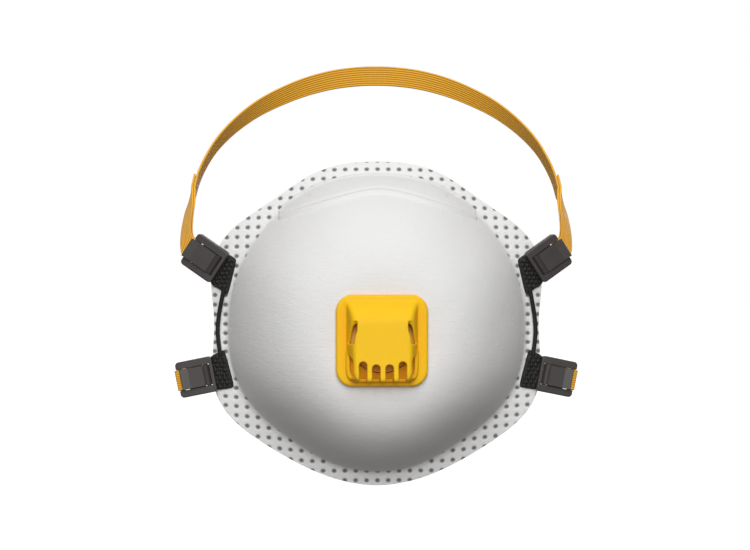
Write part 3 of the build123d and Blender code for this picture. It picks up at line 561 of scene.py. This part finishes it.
def surface_nets(f, origin, cell):
    """Quads of the zero surface of a sampled field (negative inside)."""
    nx, ny, nz = f.shape
    acc = np.zeros((nx - 1, ny - 1, nz - 1, 3))
    cnt = np.zeros((nx - 1, ny - 1, nz - 1))
    corners = [(i, j, k) for i in (0, 1) for j in (0, 1) for k in (0, 1)]
    sub = {c: f[c[0]:nx - 1 + c[0], c[1]:ny - 1 + c[1], c[2]:nz - 1 + c[2]] for c in corners}
    for a in corners:
        for ax in range(3):
            if a[ax]:
                continue
            b = tuple(1 if k == ax else a[k] for k in range(3))
            fa, fb = sub[a], sub[b]
            cross = (fa < 0) != (fb < 0)
            t = np.where(cross, fa / np.where(cross, fa - fb, 1.0), 0.0)
            for k in range(3):
                acc[..., k] += np.where(cross, a[k] + (t if k == ax else 0.0), 0.0)
            cnt += cross
    live = cnt > 0
    index = -np.ones(live.shape, int)
    index[live] = np.arange(live.sum())
    cells = np.argwhere(live)
    verts = (cells + acc[live] / cnt[live][:, None]) * cell + origin
    quads = []
    for ax in range(3):
        u, v = [k for k in range(3) if k != ax]
        lo = [slice(1, -1)] * 3
        lo[ax] = slice(0, -1)
        hi = list(lo)
        hi[ax] = slice(1, None)
        fa, fb = f[tuple(lo)], f[tuple(hi)]
        for i, j, k in np.argwhere((fa < 0) != (fb < 0)):
            base = [i, j, k]
            for q in (u, v):
                base[q] += 1
            ring = []
            for du, dv in ((-1, -1), (0, -1), (0, 0), (-1, 0)):
                c = list(base)
                c[u] += du
                c[v] += dv
                ring.append(int(index[tuple(c)]))
            quads.append(tuple(ring))
    return verts, quads


def cover_field(x, z, w):
    ax = np.abs(x)
    # square base with large soft corners
    qx, qz = np.maximum(ax - 11.7, 0), np.maximum(np.abs(z) - 11.7, 0)
    flat = np.hypot(qx, qz) + np.minimum(np.maximum(ax, np.abs(z)) - 11.7, 0) - 6.9
    r = 1.15
    px, pw = flat + r, np.abs(w - 1.42) - 1.36 + r
    base = np.hypot(np.maximum(px, 0), np.maximum(pw, 0)) + np.minimum(np.maximum(px, pw), 0) - r
    # hood: sloping sides, a long smooth top, a blunt lower end
    half = 14.3 - 2.5 * np.clip((w - 3.2) / 7.6, 0, 1)
    side = (ax - half) * 0.94
    slope = (z - 16.3) * 0.80 + (w - 2.4) * 0.60
    plat = (z - 8.8) * 0.105 + (w - 9.9) * 0.994
    end = -(z + 16.6) * 0.99 + (w - 6.0) * 0.03
    top = smax(slope, plat, 3.2)
    skin = smax(smax(side, end, 4.2), top, 1.9)
    inner = smax(smax(side + 0.95, end + 1.45, 4.2), top + 1.45, 1.9)
    k = 0.4 + 0.9 * smoothstep(9.0, 16.0, z)
    body = smin(base, skin, k)
    inner = np.maximum(inner, 2.3 - w)
    body = smax(body, -inner, 0.25)
    # arched slots at the front, open through the lower wall above the lip
    for xc, tip in ((-7.95, -8.2), (-2.68, -9.4), (2.68, -9.4), (7.95, -8.2)):
        dx = np.abs(x - xc)
        arch = np.hypot(dx, np.maximum(z - (tip - 1.6), 0)) - 1.62
        slot = smax(arch, 4.4 - w, 0.4)
        body = smax(body, -slot, 0.45)
    # tapering slit and lower opening in each sloping side wall
    reach = np.clip((8.4 - z) / 9.4, 0, 1)
    upper = smax(smax(z - 8.0, -1.2 - z, 0.6), smax(w - 10.2, (9.4 - 5.2 * reach) - w, 0.5), 0.5)
    upper = smax(upper, 10.2 - ax, 0.3)
    lower = smax(smax(z + 5.1 + 0.42 * (w - 4.0), -14.9 - z, 1.8), smax(w - 10.3, 4.3 - w, 0.8), 0.8)
    lower = smax(lower, 10.6 - ax, 0.3)
    body = smax(smax(body, -upper, 0.4), -lower, 0.4)
    # raised line round the opening behind the ribs
    ring = np.abs(smax(ax - 14.2, np.abs(z + 3.0) - 12.9, 6.0)) - 0.35
    lip = smax(smax(ring, w - 3.9, 0.4), z + 4.0, 0.5)
    body = smin(body, smax(lip, 1.0 - w, 0.2), 0.5)
    # clear of the seat and its clip, and flat at the back
    seat = smax(np.hypot(x, z) - 13.1, w - 3.6, 0.2)
    body = np.maximum(body, -seat)
    return np.maximum(body, 0.06 - w)


CELL = 0.21
gx = np.arange(-19.3, 19.35, CELL)
gz = np.arange(-19.3, 19.35, CELL)
gw = np.arange(-0.4, 13.4, CELL)
X, Z, W = np.meshgrid(gx, gz, gw, indexing="ij")
net_v, net_q = surface_nets(cover_field(X, Z, W), np.array([gx[0], gz[0], gw[0]]), CELL)
cover = new_mesh("valve_cover_moulded", np.stack([net_v[:, 0], APEX_Y - net_v[:, 2], VALVE_Z + net_v[:, 1]], -1), net_q)
set_mat(cover, "valve")
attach(cover, "root"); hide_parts("valve_cover")
print("valve cover faces", len(net_q))

# ------------------------------------------------------------------
# buckle frames of reference, as in the CAD model
# ------------------------------------------------------------------


class Local:
    """u outward, v across, w forward."""
    def __init__(self, centre, deg, slope):
        a = math.radians(deg)
        self.o = np.array(centre, float)
        w = np.array([slope, -1.0, 0.0]); w /= np.linalg.norm(w)
        u = np.array([math.cos(a), slope * math.cos(a), math.sin(a)]); u /= np.linalg.norm(u)
        u = u - w * float(u @ w); u /= np.linalg.norm(u)
        self.u, self.w, self.v = u, w, np.cross(w, u)

    def at(self, u, v, w):
        return self.o + self.u * u + self.v * v + self.w * w


UP = Local((-73.1, 1.95, 28.0), 145.2, -0.26)
LO = Local((-76.8, 4.0, -22.6), 191.7, -0.18)

# ------------------------------------------------------------------
# pads: soft knobbly plates
# ------------------------------------------------------------------


def xz(loc, u, v):
    p = loc.at(u, v, 0)
    return (p[0], p[2])


def pad_piece(name, corners, side, seed):
    n_u, n_v = 74, 84
    u = np.linspace(0, 1, n_u)[:, None] * np.ones(n_v)
    v = np.linspace(0, 1, n_v)[None, :] * np.ones((n_u, 1))
    a, b, c, d = [np.array(p) for p in corners]
    uc, vc = u * 2 - 1, v * 2 - 1
    pull = 1 - 0.075 * (uc * uc * vc * vc) ** 2
    u, v = (uc * pull + 1) / 2, (vc * pull + 1) / 2
    def mapped(u, v):
        return [(1 - u) * (1 - v) * a[i] + u * (1 - v) * b[i] + u * v * c[i] + (1 - u) * v * d[i] for i in (0, 1)]
    x, z = mapped(u, v)
    lu = (np.linalg.norm(b - a) + np.linalg.norm(c - d)) / 2
    lv = (np.linalg.norm(d - a) + np.linalg.norm(c - b)) / 2
    du, dv = np.minimum(u, 1 - u) * lu, np.minimum(v, 1 - v) * lv
    edge = np.minimum(du, dv)
    # rounded rim, round corners
    r = 1.0
    rim = np.sqrt(np.clip(1 - (1 - np.clip(edge / r, 0, 1)) ** 2, 0, 1))
    pitch = 2.05
    row = np.round(z / (pitch * 0.87))
    gx = (x / pitch + 0.5 * (row % 2))
    d_knob = np.hypot((gx - np.round(gx)) * pitch, z - row * pitch * 0.87)
    size = 0.80 + 0.22 * noise2(np.round(gx) * 7.3 + 40, row * 5.1 + 40, seed, 1.7)
    knob = np.sqrt(np.clip(1 - (d_knob / size) ** 2, 0, 1)) * smoothstep(0.3, 1.1, edge)
    h = 0.15 + 1.2 * rim + (0.45 + 0.35 * size) * knob + 0.10 * noise2(x + 50, z + 50, seed, 0.9)
    top, _ = on_cup(x, z, -h)
    low, _ = on_cup(x, z, -0.05 - 0 * h)
    verts = np.concatenate([top.reshape(-1, 3), low.reshape(-1, 3)])
    faces = grid_faces(n_u, n_v)
    off = n_u * n_v
    faces = faces + [tuple(off + k for k in reversed(f)) for f in faces]
    ring = [i * n_v for i in range(n_u)] + [(n_u - 1) * n_v + j for j in range(1, n_v)] \
        + [i * n_v + n_v - 1 for i in range(n_u - 2, -1, -1)] + [j for j in range(n_v - 2, 0, -1)]
    for i in range(len(ring)):
        p, q = ring[i], ring[(i + 1) % len(ring)]
        faces.append((p, q, off + q, off + p))
    if side == "right":
        verts = verts * (-1, 1, 1)
    ob = new_mesh(name, verts, faces)
    set_mat(ob, "pad")
    return ob


UP_PAD = [xz(UP, -7.3, -7.2), xz(UP, -12.1, -7.3), (-63.2, 12.0), (-66.0, 12.0)]
UP_PAD = [xz(UP, -7.6, -7.2), xz(UP, -11.9, -7.3), (-63.3, 12.1), xz(UP, -7.6, 7.6)]
LO_PAD = [xz(LO, -7.6, -7.4), (-64.9, -10.7), (-60.5, -27.0), xz(LO, -7.6, 7.4)]
for s in ("left", "right"):
    for h, corners in (("upper", UP_PAD), ("lower", LO_PAD)):
        ob = pad_piece(f"{h}_{s}_pad_knobbly", corners, s, 11 if h == "upper" else 17)
        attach(ob, "root"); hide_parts(f"{h}_{s}_pad")

# ------------------------------------------------------------------
# link strands: round elastic thread
# ------------------------------------------------------------------
STRAND = [(-64.6, 15.5), (-66.2, 8.4), (-67.4, 1.3), (-67.6, -6.0), (-66.4, -13.4)]
strand_pts, _ = on_cup([p[0] for p in STRAND], [p[1] for p in STRAND], -1.35)
for s, sx in (("left", 1), ("right", -1)):
    cu = bpy.data.curves.new(f"{s}_link_thread", "CURVE")
    cu.dimensions = "3D"
    sp = cu.splines.new("NURBS")
    sp.points.add(len(strand_pts) - 1)
    for k, p in enumerate(strand_pts):
        sp.points[k].co = (p[0] * sx * MM, p[1] * MM, p[2] * MM, 1)
    sp.order_u = 3
    sp.use_endpoint_u = True
    sp.resolution_u = 16
    cu.bevel_depth = 0.9 * MM
    cu.bevel_resolution = 6
    cu.use_fill_caps = True
    ob = bpy.data.objects.new(f"{s}_link_thread", cu)
    scene.collection.objects.link(ob)
    ob.data.materials.append(MAT["strand"])
    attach(ob, "root"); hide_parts(f"{s}_link_strand")

# ------------------------------------------------------------------
# straps
# ------------------------------------------------------------------
STRAP_W, STRAP_T = 8.8, 0.9
BAR_IN, BAR_FRONT, BAR_BACK = 5.8, 0.2, -1.0
BACK_W = BAR_BACK - 0.1 - STRAP_T / 2
FRONT_W = BAR_FRONT + 0.1 + STRAP_T / 2
ARCH = [(-77.2, 56.0), (-75.5, 62.0), (-72.5, 68.6), (-67.8, 76.0), (-60.4, 83.8), (-50.6, 91.2), (-40.0, 96.7),
        (-28.9, 101.0), (-17.2, 103.9), (-5.5, 105.2), (0, 105.3)]
VIEW, LEAN_TOP, LEAN_SIDE = 950.0, 60.0, 0.036


def unit(v):
    v = np.array(v, float)
    return v / np.linalg.norm(v)


def catmull(points, step):
    pts = [np.array(p, float) for p in points]
    pts = [2 * pts[0] - pts[1]] + pts + [2 * pts[-1] - pts[-2]]
    out = []
    for i in range(1, len(pts) - 2):
        p0, p1, p2, p3 = pts[i - 1:i + 3]
        t = [0.0]
        for a, b in ((p0, p1), (p1, p2), (p2, p3)):
            t.append(t[-1] + max(np.linalg.norm(b - a), 1e-6) ** 0.5)
        for k in range(24):
            u = t[1] + (t[2] - t[1]) * k / 24
            a1 = (t[1] - u) / (t[1] - t[0]) * p0 + (u - t[0]) / (t[1] - t[0]) * p1
            a2 = (t[2] - u) / (t[2] - t[1]) * p1 + (u - t[1]) / (t[2] - t[1]) * p2
            a3 = (t[3] - u) / (t[3] - t[2]) * p2 + (u - t[2]) / (t[3] - t[2]) * p3
            b1 = (t[2] - u) / (t[2] - t[0]) * a1 + (u - t[0]) / (t[2] - t[0]) * a2
            b2 = (t[3] - u) / (t[3] - t[1]) * a2 + (u - t[1]) / (t[3] - t[1]) * a3
            out.append((t[2] - u) / (t[2] - t[1]) * b1 + (u - t[1]) / (t[2] - t[1]) * b2)
    out.append(pts[-2])
    length = [0.0]
    for a, b in zip(out[:-1], out[1:]):
        length.append(length[-1] + float(np.linalg.norm(b - a)))
    n = max(2, round(length[-1] / step))
    res = []
    for i in range(n + 1):
        s = length[-1] * i / n
        k = min(max(int(np.searchsorted(length, s)), 1), len(length) - 1)
        f = (s - length[k - 1]) / (length[k] - length[k - 1])
        res.append(out[k - 1] * (1 - f) + out[k] * f)
    return res


def slerp_frame(f0, f1, s):
    m0, m1 = np.array(f0).T, np.array(f1).T
    r = m1 @ m0.T
    ang = math.acos(max(-1.0, min(1.0, (np.trace(r) - 1) / 2)))
    if ang < 1e-6:
        return f0
    ax = np.array([r[2, 1] - r[1, 2], r[0, 2] - r[2, 0], r[1, 0] - r[0, 1]]) / (2 * math.sin(ang))
    a = ang * s
    k = np.array([[0, -ax[2], ax[1]], [ax[2], 0, -ax[0]], [-ax[1], ax[0], 0]])
    rot = np.eye(3) + math.sin(a) * k + (1 - math.cos(a)) * (k @ k)
    m = rot @ m0
    return m[:, 0], m[:, 1], m[:, 2]


def lean(z):
    return 4.0 + (LEAN_TOP - 4.0) * max(0.0, (z - 33.0) / (105.8 - 33.0))


def arch_point(x, z):
    y = lean(z)
    k = 1 + y / VIEW
    return np.array([x * k, y, 20.8 + (z - 20.8) * k])


def cubic(c, s):
    a, b, cc, d = c
    return a * (1 - s) ** 3 + 3 * b * s * (1 - s) ** 2 + 3 * cc * s * s * (1 - s) + d * s ** 3


half = [arch_point(x, z) for x, z in ARCH]
arch_mid = catmull(half + [p * (-1, 1, 1) for p in reversed(half[:-1])], 1.6)
arch_st = []
for i, c in enumerate(arch_mid):
    a, b = arch_mid[max(i - 1, 0)], arch_mid[min(i + 1, len(arch_mid) - 1)]
    t = unit(b - a)
    face = math.radians(78 - 44 * min(1.0, abs(c[0]) / 74.0) ** 2)
    plane_n = unit((0.0, -math.cos(face), math.sin(face)))
    wd = unit(plane_n - t * float(plane_n @ t))
    arch_st.append((c, wd, np.cross(t, wd)))
v_up = UP.v if UP.v[2] > 0 else -UP.v
t_up = unit(arch_mid[1] - arch_mid[0])
f_top = (t_up, arch_st[0][1], np.cross(t_up, arch_st[0][1]))
f_buckle = (UP.u, v_up, np.cross(UP.u, v_up))
p_low, p_top = UP.at(8.6, 0, BACK_W), arch_mid[0]
low_ctrl = [p_low, p_low + UP.u * 3.2, p_top - t_up * 13.0, p_top]
riser = []
N_RISE = 44
for i in range(N_RISE + 1):
    s = i / N_RISE
    fr = slerp_frame(f_buckle, f_top, s ** 3)
    riser.append((cubic(low_ctrl, s), fr[1], fr[2], s))
GAP_LOW, GAP_TOP = FRONT_W - BACK_W, STRAP_T + 0.12
tail = [(c - n * (GAP_LOW + (GAP_TOP - GAP_LOW) * min(1.0, s / 0.7)), wd, n) for c, wd, n, s in riser]
for i in (1, 2, 3, 4):
    c, wd, n = arch_st[i]
    tail.append((c - n * (GAP_TOP + 0.12 * (i / 4) ** 2), wd, n))
left = list(reversed(tail))
loop_r = GAP_LOW / 2
cx = BAR_IN - 0.1 - STRAP_T / 2 + loop_r
for deg in range(90, 271, 10):
    a = math.radians(deg)
    c = UP.at(cx + loop_r * math.cos(a), 0, (FRONT_W + BACK_W) / 2 + loop_r * math.sin(a))
    left.append((c, v_up, unit(UP.u * (-math.cos(a)) - UP.w * math.sin(a))))
left += [(c, wd, n) for c, wd, n, s in riser]
right = [(c * (-1, 1, 1), wd * (-1, 1, 1), -n * (-1, 1, 1)) for c, wd, n in reversed(left)]
crown = [(np.array(c) + (LEAN_SIDE * max(0.0, c[1] - 6.0), 0, 0), wd, n) for c, wd, n in left + arch_st[1:-1] + right]


def ribbon_piece(name, stations):
    out = [stations[0]]
    for c, wd, n in stations[1:]:
        if float(out[-1][1] @ wd) < 0:
            wd = -wd
        if float(out[-1][2] @ n) < 0:
            n = -n
        out.append((c, wd, n))
    # cross section with nine lengthwise ribs on each face and rounded selvedges
    prof = []
    K = 54
    for k in range(K + 1):
        v = -1 + 2 * k / K
        edge = min(1.0, (1 - abs(v)) / 0.07)
        t = (0.72 + 0.28 * abs(math.sin(math.pi * 4.5 * (v + 1)))) * math.sqrt(max(0.0, 1 - (1 - edge) ** 2))
        prof.append((v * STRAP_W / 2, max(t, 0.02) * STRAP_T / 2))
    loop = [(v, t) for v, t in prof] + [(v, -t) for v, t in reversed(prof[1:-1])]
    loop[0] = (loop[0][0], 0.0)
    loop[K] = (loop[K][0], 0.0)
    rings, uv, length = [], [], 0.0
    for i, (c, wd, n) in enumerate(out):
        wd = unit(wd)
        n = unit(n - wd * float(n @ wd))
        if i:
            length += float(np.linalg.norm(c - out[i - 1][0]))
        rings.append([c + wd * v + n * t for v, t in loop])
        uv.append([(length, v) for v, t in loop])
    m = len(loop)
    verts = np.array(rings)
    faces = grid_faces(len(rings), m, False, True)
    faces.append(tuple(range(m)))
    faces.append(tuple(reversed([(len(rings) - 1) * m + k for k in range(m)])))
    ob = new_mesh(name, verts, faces, uvs={"strap": np.array(uv)})
    set_mat(ob, "strap")
    return ob, length


crown_ob, crown_len = ribbon_piece("crown_strap_webbing", crown)
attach(crown_ob, "root"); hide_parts("crown_strap")

lv = LO.v if LO.v[2] > 0 else -LO.v
neck = [(LO.at(1.2 + 6.3 * k / 6, 0, FRONT_W), lv, LO.w) for k in range(7)]
neck += [(LO.at(8.05, 0, FRONT_W - 0.08), lv, unit(LO.w + 0.35 * LO.u)),
         (LO.at(8.28, 0, FRONT_W - 0.22), lv, unit(LO.w + 0.75 * LO.u)),
         (LO.at(8.45, 0, FRONT_W - 0.40), lv, unit(LO.w + 1.2 * LO.u)),
         (LO.at(8.56, 0, FRONT_W - 0.66), lv, unit(0.5 * LO.w + LO.u)),
         (LO.at(8.6, 0, FRONT_W - 0.95), lv, unit(0.2 * LO.w + LO.u)),
         (LO.at(8.6, 0, -1.4), lv, LO.u), (LO.at(8.6, 0, -2.5), lv, LO.u)]
p0 = LO.at(8.6, 0, -4.0)
NECK = [p0, p0 + (0.2, 8, 0.3), (-83.6, 28, -23.4), (-79.6, 50, -23.6), (-70.8, 72, -24.6), (-57, 91, -26.4),
        (-39.5, 104, -28.2), (-20, 110.5, -29.3), (0, 112.5, -29.7), (20, 110.5, -29.3)]
nh = [p for p in catmull(NECK, 1.8) if p[0] < -0.5]
for i, c in enumerate(nh):
    a = nh[max(i - 1, 0)]
    b = nh[i + 1] if i + 1 < len(nh) else nh[i] + (1.8, 0.03, 0)
    t = unit(b - a)
    k = min(1.0, i / 17)
    up = unit(lv * (1 - k) + np.array([0, -0.05, 1.0]) * k)
    wd = unit(up - t * float(up @ t))
    neck.append((c, wd, np.cross(t, wd)))
neck += [(np.array((0, 112.5, -29.7)), unit((0, -0.05, 1)), unit((0, 1, 0.05)))]
neck += [(c * (-1, 1, 1), wd * (-1, 1, 1), n * (-1, 1, 1)) for c, wd, n in reversed(neck[:-1])]
neck_ob, neck_len = ribbon_piece("neck_strap_webbing", neck)
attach(neck_ob, "root"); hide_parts("neck_strap")
print("strap lengths mm", round(crown_len, 1), round(neck_len, 1))

# ------------------------------------------------------------------
# nose foam: soft strip inside the cup
# ------------------------------------------------------------------


def foam_material():
    m, nt, b = material("foam_open_cell")
    vec = obj_coords(nt)
    vor = nt.nodes.new("ShaderNodeTexVoronoi")
    vor.inputs["Scale"].default_value = 1500.0
    nt.links.new(vec, vor.inputs["Vector"])
    cell = vor.outputs["Distance"]
    n = noise(nt, vec, 500.0, 3.0, 0.6)
    col = ramp(nt, cell, [(0.0, (0.30, 0.31, 0.33)), (0.45, (0.56, 0.57, 0.60)), (1.0, (0.66, 0.67, 0.70))])
    nt.links.new(col, b.inputs["Base Color"])
    h = math_node(nt, "ADD", cell, math_node(nt, "MULTIPLY", n, 0.5))
    nt.links.new(bump(nt, h, 0.8, 0.00025), b.inputs["Normal"])
    b.inputs["Roughness"].default_value = 0.92
    b.inputs["Specular IOR Level"].default_value = 0.2
    return m


MAT["foam"] = foam_material()


def foam_piece():
    n_u, n_v = 150, 30
    u = np.linspace(-1, 1, n_u)[:, None] * np.ones(n_v)
    v = np.linspace(-1, 1, n_v)[None, :] * np.ones((n_u, 1))
    x = u * 39.6
    zc = 58.4 - 0.40 * (np.sqrt(x * x + 64.0) - 8.0) - 3.5
    # rounded ends
    endr = np.clip((39.6 - np.abs(x)) / 4.3, 0, 1)
    half_w = 4.3 * np.sqrt(np.clip(1 - (1 - endr) ** 2, 0.0, 1)) * 0.98 + 0.08
    z = zc + v * half_w
    edge = np.minimum((1 - np.abs(v)) * half_w, (39.6 - np.abs(x)) + 0.02)
    rim = np.sqrt(np.clip(1 - (1 - np.clip(edge / 1.3, 0, 1)) ** 2, 0, 1))
    thick = 0.25 + 2.9 * rim + 0.25 * rim * noise2(x + 90, z + 90, 21, 5.0)
    top, _ = on_cup(x, z, CUP_T + 0.12 + thick)
    low, _ = on_cup(x, z, CUP_T + 0.12 + 0 * thick)
    verts = np.concatenate([top.reshape(-1, 3), low.reshape(-1, 3)])
    faces = grid_faces(n_u, n_v)
    off = n_u * n_v
    faces = faces + [tuple(off + k for k in reversed(f)) for f in faces]
    ring = [i * n_v for i in range(n_u)] + [(n_u - 1) * n_v + j for j in range(1, n_v)] \
        + [i * n_v + n_v - 1 for i in range(n_u - 2, -1, -1)] + [j for j in range(n_v - 2, 0, -1)]
    for i in range(len(ring)):
        p, q = ring[i], ring[(i + 1) % len(ring)]
        faces.append((p, q, off + q, off + p))
    ob = new_mesh("nose_foam_strip", verts, faces)
    set_mat(ob, "foam")
    return ob


foam = foam_piece()
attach(foam, "root"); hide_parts("nose_foam")

# ------------------------------------------------------------------
# stage, light and camera
# ------------------------------------------------------------------
me = bpy.data.meshes.new("floor")
F = 6.0
me.from_pydata([(-F, -F, -0.2), (F, -F, -0.2), (F, F, -0.2), (-F, F, -0.2)], [], [(0, 1, 2, 3)])
floor = bpy.data.objects.new("floor", me)
scene.collection.objects.link(floor)
fm, fnt, fb = material("pale_floor")
fb.inputs["Base Color"].default_value = (0.82, 0.82, 0.82, 1)
fb.inputs["Roughness"].default_value = 0.9
fb.inputs["Emission Color"].default_value = (1, 1, 1, 1)
fb.inputs["Emission Strength"].default_value = 0.45
me.materials.append(fm)
floor.visible_diffuse = False
floor.visible_glossy = False
floor.visible_shadow = False

world = bpy.data.worlds.new("studio")
world.use_nodes = True
wnt = world.node_tree
wnt.nodes.clear()
w_out = wnt.nodes.new("ShaderNodeOutputWorld")
w_seen = wnt.nodes.new("ShaderNodeBackground")
w_seen.inputs["Color"].default_value = (1, 1, 1, 1)
w_seen.inputs["Strength"].default_value = 1.0
w_lit = wnt.nodes.new("ShaderNodeBackground")
w_lit.inputs["Color"].default_value = (1.0, 0.95, 0.92, 1)
w_lit.inputs["Strength"].default_value = 0.105
w_path = wnt.nodes.new("ShaderNodeLightPath")
w_mix = wnt.nodes.new("ShaderNodeMixShader")
wnt.links.new(w_path.outputs["Is Camera Ray"], w_mix.inputs[0])
wnt.links.new(w_lit.outputs[0], w_mix.inputs[1])
wnt.links.new(w_seen.outputs[0], w_mix.inputs[2])
wnt.links.new(w_mix.outputs[0], w_out.inputs["Surface"])
scene.world = world

sun = bpy.data.lights.new("key", "SUN")
sun.energy = 2.2
sun.angle = math.radians(44)
key = bpy.data.objects.new("key", sun)
scene.collection.objects.link(key)
elev, azim = math.radians(28), math.radians(-1.5)
d = Vector((math.sin(azim) * math.cos(elev), -math.cos(azim) * math.cos(elev), math.sin(elev)))
key.rotation_euler = d.to_track_quat("Z", "Y").to_euler()

top_light = bpy.data.lights.new("top", "SUN")
top_light.energy = 0.8
top_light.angle = math.radians(50)
top_ob = bpy.data.objects.new("top", top_light)
scene.collection.objects.link(top_ob)
d = Vector((0.0, -math.cos(math.radians(78)), math.sin(math.radians(78))))
top_ob.rotation_euler = d.to_track_quat("Z", "Y").to_euler()

front = bpy.data.lights.new("front", "SUN")
front.energy = 0.5
front.angle = math.radians(40)
front_ob = bpy.data.objects.new("front", front)
scene.collection.objects.link(front_ob)
front_ob.rotation_euler = Vector((-0.05, -1.0, -0.04)).to_track_quat("Z", "Y").to_euler()

rear = bpy.data.lights.new("rear", "SUN")
rear.energy = 1.0
rear.angle = math.radians(50)
rear_ob = bpy.data.objects.new("rear", rear)
scene.collection.objects.link(rear_ob)
rear_ob.rotation_euler = Vector((0.25, 1.0, 0.35)).to_track_quat("Z", "Y").to_euler()

fill = bpy.data.lights.new("strap_fill", "SUN")
fill.energy = 0.1
fill.angle = math.radians(60)
fill_ob = bpy.data.objects.new("strap_fill", fill)
scene.collection.objects.link(fill_ob)
d = Vector((0.0, -math.cos(math.radians(-28)), math.sin(math.radians(-28))))
fill_ob.rotation_euler = d.to_track_quat("Z", "Y").to_euler()
only = bpy.data.collections.new("strap_fill_receivers")
for ob in (crown_ob, neck_ob):
    only.objects.link(ob)
fill_ob.light_linking.receiver_collection = only

cam_data = bpy.data.cameras.new("camera")
cam_data.sensor_width = 36.0
cam_data.lens = 107.3
cam_data.clip_start = 0.01
cam = bpy.data.objects.new("camera", cam_data)
scene.collection.objects.link(cam)
target = Vector((-0.0010, 0.0, 0.0208))
yaw = math.radians(2.2)
cam.location = target + Vector((-math.sin(yaw), -math.cos(yaw), 0.0)) * 0.95
cam.rotation_euler = (target - cam.location).to_track_quat("-Z", "Y").to_euler()
scene.camera = cam
scene.view_settings.view_transform = "Standard"
